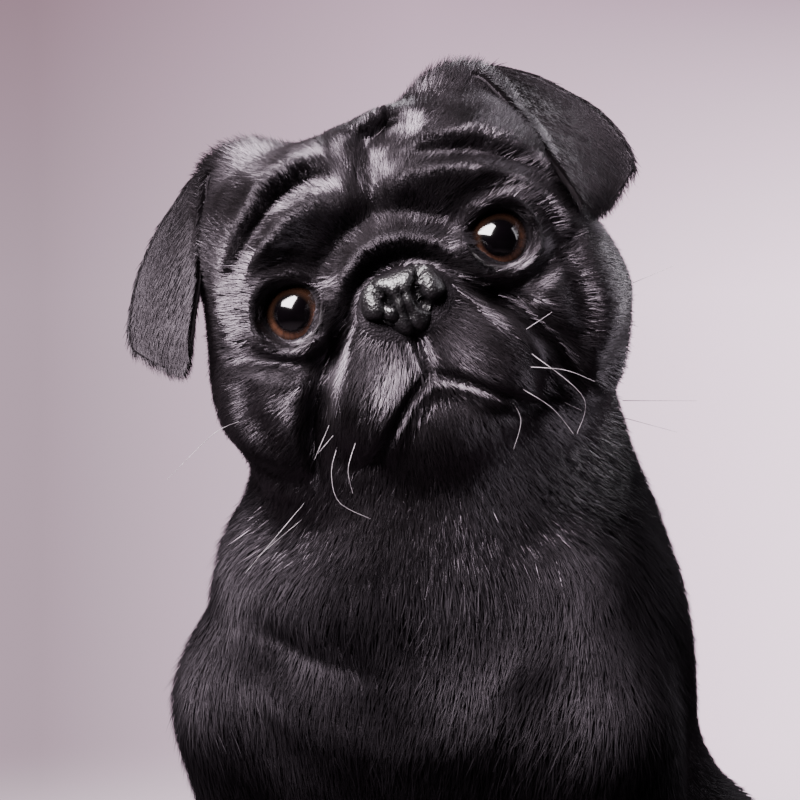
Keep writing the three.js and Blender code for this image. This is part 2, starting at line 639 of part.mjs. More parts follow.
const faceCare = (p) => (toHead(p)[1] < 12 ? FACE_CARE : 1);
const aroundHead = (reach) => [minus(HEAD_AT, reach), plus(HEAD_AT, reach)];
let head = traced(
  (p) => Math.max(skinDistance(p), planeDistance(p, headPlane) - 8),
  ...aroundHead([106, 132, 126]), HEAD_CELL, HEAD_TRIANGLES, faceCare,
);
head = below(head, headPlane);
const noseBox = aroundHead([46, 46, 46]);
const nosePad = (grow, target) =>
  traced((p) => noseDistance(toHead(p)) - grow, ...noseBox, NOSE_CELL, target);
const nose = nosePad(0, NOSE_TRIANGLES);
nodes.set("nose_pad", [nose, LEATHER]);
head = head.subtract(nosePad(1.1, NOSE_TRIANGLES)).subtract(nose);
for (const [name, side] of Object.entries(SIDES)) {
  nodes.set("eye_" + name, [eyeBall(side), EYE]);
  nodes.set("ear_" + name, [earFlap(side), COAT]);
  head = head.subtract(eyeBall(side, GAP)).subtract(earFlap(side, GAP));
}
nodes.set("head", [head, COAT]);

const tailBox = [[-60, 90, 60], [60, 220, 190]];
const tail = (grow, target) =>
  traced((p) => tailDistance(p) - grow, ...tailBox, TAIL_CELL, target);
const tailNode = tail(0, TAIL_TRIANGLES);
nodes.set("tail", [tailNode, COAT]);
let body = traced(
  (p) => Math.max(skinDistance(p), -planeDistance(p, headPlane) - 8),
  [-120, -140, -14], [120, 210, 372], BODY_CELL, BODY_TRIANGLES,
);
body = above(above(body, headPlane), { at: [0, 0, -GAP / 2], normal: FLOOR_PLANE.normal });
body = body.subtract(tail(1.1, TAIL_TRIANGLES)).subtract(tailNode);

// Each limb piece is the body inside a block; the blocks are listed from the foot up.
const LIMB_BLOCKS = {
  fore_paw: [[30, -160, -20], [130, -18, 30]],
  foreleg_lower: [[30, -160, 30], [130, 4, 122]],
  foreleg_upper: [[42, -130, 122], [130, 34, 214]],
  hind_foot: [[53, -30, -20], [130, 152, 34]],
  thigh: [[42, 2, 34], [130, 180, 148]],
};
const CLAWS = { fore_paw: [FORE_PAW, FORE_SPLAY], hind_foot: [HIND_PAW, HIND_SPLAY] };
for (const [name, side] of Object.entries(SIDES)) {
  for (const [part, [low, high]] of Object.entries(LIMB_BLOCKS)) {
    let piece = body.intersect(block(low, high, side, -GAP / 2));
    body = body.subtract(block(low, high, side, GAP / 2));
    if (CLAWS[part]) {
      for (let i = 0; i < 4; i++) {
        const toe = toeAt(...CLAWS[part], i);
        nodes.set(`claw_${part.split("_")[0]}_${name}_${i + 1}`, [claw(toe, side), HORN]);
        piece = piece.subtract(claw(toe, side, GAP));
      }
    }
    nodes.set(`${part}_${name}`, [piece, COAT]);
  }
}
nodes.set("neck", [above(body, COLLAR_PLANE), COAT]);
const trunk = below(body, COLLAR_PLANE);
nodes.set("torso", [below(trunk, LOIN_PLANE), COAT]);
nodes.set("rump", [above(trunk, LOIN_PLANE), COAT]);

const pug = new THREE.Group();
pug.name = "pug";
for (const [name, [solid, material]] of nodes) {
  const { vertProperties, triVerts } = largest(solid).getMesh();
  const geometry = new THREE.BufferGeometry();
  geometry.setAttribute("position", new THREE.BufferAttribute(vertProperties, 3));
  geometry.setIndex(new THREE.BufferAttribute(triVerts, 1));
  const mesh = new THREE.Mesh(geometry, material);
  mesh.name = name;
  pug.add(mesh);
}

// The origin is the middle of the footprint, on the floor.
const bounds = new THREE.Box3().setFromObject(pug);
const centre = bounds.getCenter(new THREE.Vector3());
pug.position.set(-centre.x, -centre.y, 0);

export default pug;
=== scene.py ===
"""A sitting black pug, life size: one skin with a short glossy coat, eyes, nose pad, claws and whiskers."""

import logging
import math
from dataclasses import astuple, dataclass, field
from enum import Enum
from typing import Callable, Sequence

import bmesh
import bpy
import numpy as np
from mathutils import Matrix, Vector


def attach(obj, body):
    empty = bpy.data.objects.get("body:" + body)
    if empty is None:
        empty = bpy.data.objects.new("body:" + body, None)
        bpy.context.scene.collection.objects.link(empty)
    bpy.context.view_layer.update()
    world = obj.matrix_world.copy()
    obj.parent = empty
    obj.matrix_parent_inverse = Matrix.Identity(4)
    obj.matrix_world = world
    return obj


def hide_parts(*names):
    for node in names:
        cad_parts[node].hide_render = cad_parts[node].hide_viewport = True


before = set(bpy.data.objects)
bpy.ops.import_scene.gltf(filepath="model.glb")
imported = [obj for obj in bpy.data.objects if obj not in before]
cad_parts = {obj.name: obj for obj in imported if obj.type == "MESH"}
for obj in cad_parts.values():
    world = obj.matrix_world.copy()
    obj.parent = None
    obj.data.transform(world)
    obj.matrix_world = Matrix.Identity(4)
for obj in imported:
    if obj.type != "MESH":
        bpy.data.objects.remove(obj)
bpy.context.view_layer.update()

logging.basicConfig(level=logging.INFO, format="%(message)s")
LOG = logging.getLogger("pug")
MM = 0.001
SIDES = {"left": 1, "right": -1}
Array = np.ndarray
Point = tuple[float, float, float]


# Turns and placing

def turn(axis: str, degrees: float) -> Array:
    """A turn about one axis.

    Args:
        axis: "x", "y" or "z".
        degrees: the angle, by the right-hand rule.

    Returns:
        A 3 x 3 matrix whose columns are the turned axes.
    """
    return np.array(Matrix.Rotation(math.radians(degrees), 3, axis.upper()))


def unit(v: Array) -> Array:
    """Rows of v scaled to length one.

    Args:
        v: an (n, 3) array.

    Returns:
        The scaled (n, 3) array.
    """
    return v / np.maximum(np.linalg.norm(v, axis=-1, keepdims=True), 1e-9)


def folded(p: Array) -> Array:
    """Points with x made positive, so one form serves both sides.

    Args:
        p: an (n, 3) array.

    Returns:
        The mirrored (n, 3) array.
    """
    return np.concatenate([np.abs(p[:, :1]), p[:, 1:]], axis=1)


def bump(x: Array) -> Array:
    """A smooth hill of height one.

    Args:
        x: distances from its middle, in widths.

    Returns:
        The height at each.
    """
    return np.exp(-x * x)


def smooth_step(x: Array, low: float, high: float) -> Array:
    """A soft ramp from zero to one.

    Args:
        x: values to place on the ramp.
        low: where it starts.
        high: where it ends.

    Returns:
        The ramp at each x.
    """
    t = np.clip((x - low) / (high - low), 0, 1)
    return t * t * (3 - 2 * t)


@dataclass(frozen=True)
class Place:
    """A frame within the dog: an origin in millimetres and a turn."""

    at: Point
    axes: Array = field(default_factory=lambda: np.eye(3))

    def inside(self, p: Array) -> Array:
        """Points of the dog's frame seen from this one.

        Args:
            p: an (n, 3) array.

        Returns:
            The (n, 3) array in this frame.
        """
        return (p - np.asarray(self.at)) @ self.axes

    def outside(self, p: Array) -> Array:
        """Points of this frame in the dog's.

        Args:
            p: an (n, 3) array.

        Returns:
            The (n, 3) array in the dog's frame.
        """
        return np.asarray(p) @ self.axes.T + np.asarray(self.at)


HEAD = Place((4, -88, 330), turn("z", 20) @ turn("y", -20) @ turn("x", -5))
HEAD_MIDDLE = (0, 20, -10)


def from_middle(h: Array) -> Array:
    """How far points of the head's frame are from the middle of the head."""
    return np.linalg.norm(h - HEAD_MIDDLE, axis=1)


# Solid forms: each gives its distance field and can be drawn as a closed mesh

@dataclass(frozen=True)
class Form:
    """A simple solid that melts into what is already there with a fillet."""

    fillet: float

    def distance(self, p: Array) -> Array:
        """Distance from the form, negative inside.

        Args:
            p: an (n, 3) array.

        Returns:
            One distance for each point.
        """
        raise NotImplementedError

    def add_to(self, bm: bmesh.types.BMesh, place: Place, side: int) -> None:
        """Draws the form.

        Args:
            bm: the mesh that takes it, in metres.
            place: the frame the form is written in.
            side: 1, or -1 for its mirror image.
        """
        raise NotImplementedError


def ball(
    bm: bmesh.types.BMesh, place: Place, centre: Array, axes: Array, side: int, detail: int = 16
) -> list[bmesh.types.BMVert]:
    """A sphere stretched along three axes.

    Args:
        bm: the mesh that takes it, in metres.
        place: the frame the centre is in.
        centre: its middle in millimetres.
        axes: a 3 x 3 matrix whose columns are its half axes.
        side: 1, or -1 for its mirror image.
        detail: rings of faces from pole to pole.

    Returns:
        The new vertices.
    """
    mirror = np.diag([side, 1, 1])
    full = np.eye(4)
    full[:3, :3] = place.axes @ mirror @ axes
    full[:3, 3] = place.outside((mirror @ np.asarray(centre, float))[None])[0]
    full[:3] *= MM
    return bmesh.ops.create_uvsphere(
        bm, u_segments=2 * detail, v_segments=detail, radius=1, matrix=Matrix(full.tolist())
    )["verts"]


@dataclass(frozen=True)
class Ellipsoid(Form):
    """A ball with three radii."""

    centre: Point = (0, 0, 0)
    radii: Point = (1, 1, 1)
    axes: Array = field(default_factory=lambda: np.eye(3))

    def distance(self, p: Array) -> Array:
        """See Form.distance."""
        q = (p - np.asarray(self.centre)) @ self.axes
        r = np.asarray(self.radii)
        near = np.linalg.norm(q / r, axis=1)
        steep = np.linalg.norm(q / (r * r), axis=1)
        return near * (near - 1) / np.maximum(steep, 1e-6)

    def add_to(self, bm: bmesh.types.BMesh, place: Place, side: int) -> None:
        """See Form.add_to."""
        ball(bm, place, self.centre, self.axes @ np.diag(self.radii), side)


@dataclass(frozen=True)
class RoundBox(Form):
    """A box with every edge rounded."""

    centre: Point = (0, 0, 0)
    half: Point = (1, 1, 1)
    radius: float = 1

    def distance(self, p: Array) -> Array:
        """See Form.distance."""
        q = np.abs(p - np.asarray(self.centre)) - np.asarray(self.half)
        return np.linalg.norm(np.maximum(q, 0), axis=1) + np.minimum(q.max(axis=1), 0) - self.radius

    def add_to(self, bm: bmesh.types.BMesh, place: Place, side: int) -> None:
        """See Form.add_to."""
        ball(bm, place, self.centre, np.diag(np.asarray(self.half) * 0.9 + self.radius), side)


@dataclass(frozen=True)
class Limb(Form):
    """A tapered capsule between two points."""

    start: Point = (0, 0, 0)
    end: Point = (0, 0, 1)
    radii: tuple[float, float] = (1, 1)

    def distance(self, p: Array) -> Array:
        """See Form.distance."""
        a = np.asarray(self.start, float)
        along = np.asarray(self.end, float) - a
        t = np.clip(((p - a) @ along) / (along @ along), 0, 1)
        radius = self.radii[0] + (self.radii[1] - self.radii[0]) * t
        return np.linalg.norm(p - a - t[:, None] * along, axis=1) - radius

    def add_to(self, bm: bmesh.types.BMesh, place: Place, side: int) -> None:
        """See Form.add_to."""
        mirror = np.array((side, 1, 1))
        start, end = place.outside(np.array((self.start, self.end)) * mirror) * MM
        along = Vector(end - start)
        turned = along.to_track_quat("Z", "Y").to_matrix().to_4x4()
        bmesh.ops.create_cone(
            bm,
            cap_ends=True,
            segments=20,
            radius1=self.radii[0] * MM,
            radius2=self.radii[1] * MM,
            depth=along.length,
            matrix=Matrix.Translation(Vector(start + end) / 2) @ turned,
        )
        for at, radius in ((self.start, self.radii[0]), (self.end, self.radii[1])):
            ball(bm, place, at, np.eye(3) * radius, side, detail=10)


def blend(a: Array, b: Array, k: float) -> Array:
    """The union of two distance fields with a fillet.

    Args:
        a: the first field's values.
        b: the second's.
        k: about how wide the fillet is.

    Returns:
        The union's values.
    """
    h = np.clip(0.5 + 0.5 * (b - a) / k, 0, 1)
    return b + (a - b) * h - k * h * (1 - h)


def melted(forms: Sequence, p: Array) -> Array:
    """Forms joined one after another, each with its own fillet.

    Args:
        forms: the forms, or groups of them.
        p: an (n, 3) array.

    Returns:
        One distance for each point.
    """
    d = forms[0].distance(p)
    for form in forms[1:]:
        d = blend(d, form.distance(p), form.fillet)
    return d


def spline(rows: Array, t: Array) -> Array:
    """A smooth curve through rows.

    Args:
        rows: a (k, n) array.
        t: places along it, 0 to 1.

    Returns:
        One row for each t.
    """
    last = len(rows) - 1
    x = np.clip(t, 0, 1) * last
    i = np.minimum(x.astype(int), last - 1)
    f = (x - i)[:, None]
    a, b, c, d = (rows[np.clip(i + k, 0, last)] for k in (-1, 0, 1, 2))
    return 0.5 * (2 * b + (c - a) * f + (2 * a - 5 * b + 4 * c - d) * f**2 + (3 * b - a - 3 * c + d) * f**3)


def trace(x: Array, z: Array, points: Sequence[tuple[float, float]]) -> tuple[Array, Array]:
    """How far flat points are from a line through points.

    Args:
        x: across values.
        z: height values.
        points: the line's corners.

    Returns:
        Each point's distance, and how far along the line its nearest place is, 0 to 1.
    """
    away = np.full(len(x), 1e9)
    along = np.zeros(len(x))
    last = len(points) - 1
    for i, ((ax, az), (bx, bz)) in enumerate(zip(points[:-1], points[1:])):
        dx, dz = bx - ax, bz - az
        t = np.clip(((x - ax) * dx + (z - az) * dz) / (dx * dx + dz * dz), 0, 1)
        d = np.hypot(x - ax - t * dx, z - az - t * dz)
        along = np.where(d < away, (i + t) / last, along)
        away = np.minimum(away, d)
    return away, along


class Spread(Enum):
    """How a fold is repeated across the face."""

    SINGLE = "as drawn"
    MIRRORED = "on both sides"
    ARCHED = "over the middle to both sides"


@dataclass(frozen=True)
class Fold:
    """A ridge of skin, or a crease where the height is negative, drawn in the head's x and z."""

    line: tuple[tuple[float, float], ...]
    height: float
    width: float
    fade: int
    spread: Spread = Spread.SINGLE

    def push(self, x: Array, z: Array) -> Array:
        """How far the fold lifts the skin.

        Args:
            x: across values.
            z: height values.

        Returns:
            The lift at each point.
        """
        away, along = trace(x if self.spread is Spread.SINGLE else np.abs(x), z, self.line)
        end = along if self.spread is Spread.ARCHED else np.abs(2 * along - 1)
        return self.height * bump(away / self.width) * (1 - 0.85 * end**self.fade)


@dataclass(frozen=True)
class EyeSize:
    """Where the eyes are and how they open."""

    at: Point = (33.2, -5.5, 0)
    radius: float = 11.6
    out: float = 9
    opening: tuple[float, float] = (10.2, 9.4)
    lid: float = 1.6
    drop: float = 0.2
    rings: tuple[tuple[float, float, float], ...] = ((12.4, 1.5, 2.1), (17.2, -1.4, 3.0))

    def seen(self, p: Array) -> Array:
        """Points of the head's frame seen from the left eye.

        Args:
            p: an (n, 3) array.

        Returns:
            The same points from the nearer eye, looking along -Y.
        """
        return (folded(p) - np.asarray(self.at)) @ turn("z", self.out)


EYE = EyeSize()


@dataclass(frozen=True)
class HeadForm:
    """The head without ears and nose pad, in its own frame."""

    forms: tuple[Form, ...] = (
        RoundBox(0, (0, 34, 2), (30, 20, 18), 33),
        Ellipsoid(14, (42, 18, -25), (29, 33, 36)),
        Ellipsoid(9, (25, -1, 21), (22, 15, 16)),
        Ellipsoid(8, (38, 5, -1), (19, 17, 17)),
        RoundBox(8, (0, -6, -20), (17, 8, 12), 13),
        Ellipsoid(4, (18.5, -13, -32), (18.5, 17, 21.5), turn("y", -14)),
        Ellipsoid(2, (0, -6.5, -48), (24, 17.5, 16)),
        Ellipsoid(12, (0, 27, -38), (46, 38, 27)),
        Ellipsoid(9, (37, 27, 45), (20, 18, 17.5)),
    )
    folds: tuple[Fold, ...] = (
        Fold(((0, 12), (7, 10.5), (14, 6), (28, -7), (40, -22)), 5.5, 5.4, 2, Spread.ARCHED),
        Fold(((0, 4.2), (7, 3.2), (13, 0), (18, -8), (24, -15)), -4.5, 2.8, 4, Spread.ARCHED),
        Fold(((0, 20), (11, 17), (22, 10), (30, 0)), -4.6, 4.6, 2, Spread.ARCHED),
        Fold(((22, -13), (33, -23), (41, -37), (44, -54)), -5.6, 3.4, 4, Spread.MIRRORED),
        Fold(((24, -11), (35, -17), (48, -12), (62, -3)), -2.8, 4.0, 2, Spread.MIRRORED),
        Fold(((74, -30), (65, -42), (48, -54)), -3.6, 3.6, 4, Spread.MIRRORED),
        Fold(((0, 17), (1, 30), (4, 42)), -4.5, 5.0, 2),
        Fold(((3, 42), (13, 44), (22, 41)), -3.5, 4.6, 2),
        Fold(((5, 26), (14, 29), (26, 26.5), (40, 21), (53, 10), (60, -6)), 4.2, 5.6, 2),
        Fold(((-5, 25), (-14, 30), (-26, 28), (-40, 20), (-53, 8), (-60, -8)), 4.4, 5.6, 2),
        Fold(((12, 37), (24, 39), (38, 35), (52, 25), (61, 10)), 3.4, 5.4, 2),
        Fold(((-7, 44), (-17, 45), (-29, 41), (-40, 32), (-50, 20), (-58, 6)), 4.4, 5.2, 2),
        Fold(((8, 33), (22, 33), (36, 29), (50, 19), (59, 4)), -3.6, 3.4, 2),
        Fold(((-7, 36), (-18, 37.5), (-29, 34.5), (-40, 26), (-51, 14), (-58, -2)), -4.0, 3.6, 2),
        Fold(((-8, 50), (2, 49), (12, 52), (24, 50)), 3.0, 4.4, 2),
        Fold(((50, 4), (54, -10), (52, -30), (46, -46)), -3.0, 4.4, 2),
        Fold(((-56, -14), (-58, -26), (-53, -42)), -2.0, 4.4, 2),
    )
    relief: float = 1.2
    lip_cut: tuple[float, float] = (3.2, 1.7)
    socket_dent: float = 7
    mouth: tuple[tuple[float, float], ...] = ((0, -20), (0, -33), (9, -38), (19, -47), (27, -53), (34, -54))

    def distance(self, p: Array) -> Array:
        """Distance from the head, negative inside.

        Args:
            p: an (n, 3) array in the head's frame.

        Returns:
            One distance for each point.
        """
        s = folded(p)
        d = melted(self.forms, s)
        lift = self.relief * sum(fold.push(p[:, 0], p[:, 2]) for fold in self.folds)
        d = d - lift * np.clip((28 - p[:, 1]) / 20, 0, 1)
        lips, _ = trace(s[:, 0], p[:, 2], self.mouth)
        lip_depth, lip_width = self.lip_cut
        d = d + lip_depth * bump(lips / lip_width) * np.clip((4 - p[:, 1]) / 10, 0, 1)
        e = EYE.seen(p)
        from_eye = np.linalg.norm(e, axis=1)
        d = blend(d, from_eye - EYE.radius - EYE.lid, 3)
        around = np.hypot(e[:, 0], e[:, 2])
        for radius, height, width in EYE.rings:
            d = d - height * bump((around - radius) / width) * np.clip((4 - e[:, 1]) / 6, 0, 1)
        across = np.hypot(e[:, 0] / EYE.opening[0], (e[:, 2] + EYE.drop) / EYE.opening[1])
        dent = self.socket_dent * (1 - smooth_step(across, 0.8, 1.22)) * np.clip((2 - e[:, 1]) / 6, 0, 1)
        return blend(d + dent, from_eye - EYE.radius + 1.2, 0.6)


HEAD_FORM = HeadForm()


@dataclass(frozen=True)
class NoseForm:
    """The nose pad in the head's frame. Each cut has a line, a depth and a width."""

    forms: tuple[Form, ...] = (
        RoundBox(0, (0, -23.5, -6.6), (6.2, 4, 1.6), 6),
        Ellipsoid(3, (8.4, -25.5, -8.2), (5.4, 7.6, 6.2)),
        Ellipsoid(3, (0, -25, -15), (6.4, 6.4, 5.2)),
    )
    cuts: tuple[tuple[tuple[tuple[float, float], ...], float, float], ...] = (
        (((5.6, -4.6), (4.6, -7.5), (4.8, -10.8), (7.2, -13), (14, -12.2)), 4.2, 1.35),
        (((5, -8), (5.4, -10.6)), 3.4, 2.0),
        (((0, -6), (0, -22)), 1.6, 0.9),
    )

    def distance(self, p: Array) -> Array:
        """Distance from the pad, negative inside.

        Args:
            p: an (n, 3) array in the head's frame.

        Returns:
            One distance for each point.
        """
        s = folded(p)
        d = melted(self.forms, s)
        for line, depth, width in self.cuts:
            away, _ = trace(s[:, 0], s[:, 2], line)
            d = d + depth * bump(away / width)
        return d


NOSE_FORM = NoseForm()


@dataclass(frozen=True)
class Group:
    """Forms, or groups of them, that are joined to each other first and then to the body."""

    forms: tuple
    fillet: float

    def distance(self, p: Array) -> Array:
        """Distance from the group, negative inside.

        Args:
            p: an (n, 3) array.

        Returns:
            One distance for each point.
        """
        return melted(self.forms, p)

    def parts(self) -> list[Form]:
        """The group's forms without their grouping.

        Returns:
            Every form.
        """
        nested = (form.parts() if isinstance(form, Group) else [form] for form in self.forms)
        return [part for parts in nested for part in parts]


@dataclass(frozen=True)
class Paw:
    """A foot's pad and toes on the dog's left."""

    at: Point
    splay: float
    toe_pitch: float = 9.6

    def toe(self, i: int) -> Array:
        """The tip of one toe.

        Args:
            i: 0 for the innermost to 3 for the outermost.

        Returns:
            Its middle in millimetres.
        """
        aside = i - 1.5
        return np.array(self.at) + (aside * self.toe_pitch + self.splay, -21 + abs(aside) * 4.2, -6.2)

    def forms(self, fillet: float) -> tuple[Form, ...]:
        """The foot's forms.

        Args:
            fillet: how softly the foot leaves the leg.

        Returns:
            The pad, then the toes.
        """
        at = np.array(self.at)
        pad = Ellipsoid(fillet, tuple(at + (0, 2, 0.5)), (19, 24, 14.5))
        roots = (at + ((i - 1.5) * 7.5, -4, -1) for i in range(4))
        return (pad, *(Limb(2.4, tuple(root), tuple(self.toe(i)), (8, 7.2)) for i, root in enumerate(roots)))


FORE_PAW = Paw((57, -80, 13), 0.9)
HIND_PAW = Paw((83, 24, 13), 1.5)


@dataclass(frozen=True)
class TailForm:
    """The tail, curled tightly over the back."""

    root: Point = (0, 140, 92)
    at: Point = (6, 158, 124)
    curl: tuple[float, float] = (21, 11)
    thickness: tuple[float, float] = (15.5, 9)
    turns: float = 1.3
    start: float = -62
    shift: float = -26
    steps: int = 26

    def limbs(self) -> tuple[Limb, ...]:
        """The tail as a chain of limbs from the root to the tip.

        Returns:
            The chain.
        """
        t = np.linspace(0, 1, self.steps)
        angle = np.radians(self.start + 360 * self.turns * t)
        reach = self.curl[0] + (self.curl[1] - self.curl[0]) * t
        line = np.array(self.at) + np.stack([self.shift * t, reach * np.cos(angle), reach * np.sin(angle)], 1)
        radii = self.thickness[0] + (self.thickness[1] - self.thickness[0]) * t
        chain = [Limb(0, self.root, tuple(line[0]), (20, self.thickness[0]))]
        for a, b, ra, rb in zip(line[:-1], line[1:], radii[:-1], radii[1:]):
            chain.append(Limb(0, tuple(a), tuple(b), (ra, rb)))
        return tuple(chain)

    def distance(self, p: Array) -> Array:
        """Distance from the tail, negative inside.

        Args:
            p: an (n, 3) array.

        Returns:
            One distance for each point.
        """
        return np.min([limb.distance(p) for limb in self.limbs()], axis=0)


TAIL_FORM = TailForm()


@dataclass(frozen=True)
class PugForm:
    """The whole dog as one distance field in its own frame, in millimetres."""

    trunk: Group = Group(
        (
            Ellipsoid(0, (0, 2, 178), (78, 88, 84), turn("x", -40)),
            Ellipsoid(30, (0, 72, 112), (74, 92, 74), turn("x", -46)),
            Ellipsoid(24, (0, 118, 60), (68, 56, 61.5)),
            Ellipsoid(22, (0, -62, 188), (58, 44, 56)),
        ),
        0,
    )
    neck: tuple[Limb, ...] = (
        Limb(24, tuple(HEAD.outside([[0, 40, -12]])[0]), (0, -12, 222), (58, 72)),
        Limb(18, tuple(HEAD.outside([[0, 30, -46]])[0]), (0, -52, 203), (41, 49)),
    )
    limbs: tuple[Group, ...] = (
        Group((Ellipsoid(0, (54, -34, 190), (28, 44, 62), turn("x", 18)),), 20),
        Group((Limb(0, (57, -58, 182), (60, -30, 130), (31, 26)),), 16),
        Group(
            (
                Limb(0, (59, -34, 128), (56, -58, 52), (24, 15.5)),
                Limb(8, (56, -58, 52), (57, -66, 22), (15.5, 15)),
                Group(FORE_PAW.forms(0), 9),
            ),
            12,
        ),
        Group(
            (
                Limb(0, (44, 116, 84), (70, 46, 84), (48, 36)),
                Limb(16, (74, 40, 72), (70, 108, 26), (27, 17)),
            ),
            22,
        ),
        Group((Limb(0, (70, 112, 15), (80, 44, 13.8), (15.5, 14.5)), Group(HIND_PAW.forms(0), 9)), 7),
    )
    ruff: tuple[tuple[float, float], ...] = ((-50, 205), (-22, 186), (10, 178), (38, 186), (64, 208))

    def body(self, p: Array) -> Array:
        """Distance from the neck, torso, legs and feet.

        Args:
            p: an (n, 3) array.

        Returns:
            One distance for each point.
        """
        s = folded(p)
        d = self.trunk.distance(s)
        for limb in self.neck:
            d = blend(d, limb.distance(p), limb.fillet)
        up = (p - (0, -40, 222)) @ (0, -0.25, 0.97)
        side = np.clip(0.5 - p[:, 0] / 70, 0.2, 1) * np.clip((60 - p[:, 1]) / 60, 0.4, 1)
        d = d - (4.5 * bump((up - 17) / 12) - 4.5 * bump(up / 7)) * side
        edge, _ = trace(p[:, 0], p[:, 2], self.ruff)
        d = d - 3.5 * bump(edge / 9) * np.clip((-50 - p[:, 1]) / 25, 0, 1)
        for group in self.limbs:
            d = blend(d, group.distance(s), group.fillet)
        return d

    def distance(self, p: Array) -> Array:
        """Distance from the dog without ears and nose pad.

        Args:
            p: an (n, 3) array.

        Returns:
            One distance for each point.
        """
        h = HEAD.inside(p)
        head = near_only(HEAD_FORM.distance, h, HEAD_MIDDLE, reach=110, margin=30)
        tail = near_only(TAIL_FORM.distance, p, (0, 150, 118), reach=75, margin=30)
        return blend(blend(self.body(p), head, 12), tail, 5)

    def add_to(self, bm: bmesh.types.BMesh) -> None:
        """Draws every form, overlapping.

        Args:
            bm: the mesh that takes them, in metres.
        """
        whole = Place((0, 0, 0))
        pieces = [(limb, whole, 1) for limb in (*self.neck, *TAIL_FORM.limbs())]
        for side in SIDES.values():
            pieces += [(form, HEAD, side) for form in HEAD_FORM.forms]
            pieces += [(form, whole, side) for group in (self.trunk, *self.limbs) for form in group.parts()]
        one = bpy.data.meshes.new("form")
        for form, place, side in pieces:
            piece = bmesh.new()
            form.add_to(piece, place, side)
            piece.to_mesh(one)
            piece.free()
            bm.from_mesh(one)
        bpy.data.meshes.remove(one)


def near_only(distance: Callable[[Array], Array], p: Array, at: Point, reach: float, margin: float) -> Array:
    """A part's field, worked out only near the part.

    Args:
        distance: the part's field.
        p: an (n, 3) array.
        at: the part's middle.
        reach: the radius of a ball that holds the part.
        margin: how far past the ball the field still matters.

    Returns:
        The field, with the distance to the ball in its place further out.
    """
    d = np.linalg.norm(p - np.asarray(at), axis=1) - reach
    near = d < margin
    if near.any():
        d[near] = distance(p[near])
    return d


PUG = PugForm()


def slope(distance: Callable[[Array], Array], p: Array, step: float = 0.25) -> tuple[Array, Array]:
    """A field's value and its gradient, from four samples round each point.

    Args:
        distance: the field.
        p: an (n, 3) array.
        step: how far apart the samples are.

    Returns:
        The values and the (n, 3) gradients, not scaled to length one.
    """
    corners = np.array([(1, -1, -1), (-1, -1, 1), (-1, 1, -1), (1, 1, 1)], float)
    values = [distance(p + step * corner) for corner in corners]
    gradient = sum(value[:, None] * corner for value, corner in zip(values, corners)) / (4 * step)
    return sum(values) / 4, gradient


def settle(
    distance: Callable[[Array], Array], p: Array, level: Callable[[Array], Array], rounds: int
) -> Array:
    """Moves points along the gradient until the field has the wanted value.

    Args:
        distance: the field.
        p: an (n, 3) array.
        level: the wanted value at each point.
        rounds: how many steps to take.

    Returns:
        The moved (n, 3) array.
    """
    for _ in range(rounds):
        value, gradient = slope(distance, p)
        size = np.maximum((gradient * gradient).sum(axis=1), 0.3)
        move = np.clip((value - level(p)) / size, -4, 4)
        p = p - move[:, None] * gradient
    return p


BARE_DEPTH = 0.25
FACE_DEPTH = 1.5
CROWN_EXTRA = 0.7
BODY_DEPTH = 3.2
FOOT_SHARE = 0.45


def coat_depth(p: Array) -> Array:
    """How thick the coat is, which is how far the skin lies under the dog's outline.

    Args:
        p: an (n, 3) array in the dog's frame.

    Returns:
        The depth in millimetres.
    """
    h = HEAD.inside(p)
    eye = np.linalg.norm(EYE.seen(h), axis=1)
    nose = np.linalg.norm((h - (0, -24, -9)) / (1.3, 1, 1), axis=1)
    lips, _ = trace(np.abs(h[:, 0]), h[:, 2], HEAD_FORM.mouth)
    lips = lips + np.maximum(h[:, 1] - 4, 0)
    round_eye_and_nose = np.minimum(smooth_step(eye, 11.5, 17), smooth_step(nose, 11, 15.5))
    haired = np.minimum(round_eye_and_nose, smooth_step(lips, -1, 4))
    crown = smooth_step(h[:, 1], -5, 60)
    away = smooth_step(np.linalg.norm(h, axis=1), 70, 125)
    above_feet = smooth_step(p[:, 2], 10, 70)
    depth = (FACE_DEPTH + CROWN_EXTRA * crown) * (1 - away) + BODY_DEPTH * away
    return (BARE_DEPTH + (depth - BARE_DEPTH) * haired) * (FOOT_SHARE + (1 - FOOT_SHARE) * above_feet)


# Meshes

ALL_WAYS = {"use_axis_x": True, "use_axis_y": True, "use_axis_z": True}


def shade(mesh: bpy.types.Mesh, smooth: bool = True) -> None:
    """Has every face of a mesh shaded smooth, or flat."""
    mesh.polygons.foreach_set("use_smooth", np.full(len(mesh.polygons), smooth))


def put(verts: Sequence[bmesh.types.BMVert], places: Array) -> None:
    """Moves vertices to their places, in metres."""
    for vert, place in zip(verts, places):
        vert.co = place


def object_from(name: str, bm: bmesh.types.BMesh, smooth: bool = True) -> bpy.types.Object:
    """Turns a mesh being edited into an object of the scene.

    Args:
        name: the object's name.
        bm: the mesh, in metres; it is freed.
        smooth: whether its faces are shaded smooth.

    Returns:
        The new object, at the origin.
    """
    mesh = bpy.data.meshes.new(name)
    bm.to_mesh(mesh)
    bm.free()
    return object_of(name, mesh, smooth)


def object_of(name: str, mesh: bpy.types.Mesh, smooth: bool = True) -> bpy.types.Object:
    """Puts a mesh in the scene.

    Args:
        name: the object's name.
        mesh: its mesh.
        smooth: whether its faces are shaded smooth.

    Returns:
        The new object, at the origin.
    """
    obj = bpy.data.objects.new(name, mesh)
    bpy.context.scene.collection.objects.link(obj)
    shade(mesh, smooth)
    mesh.update()
    return obj


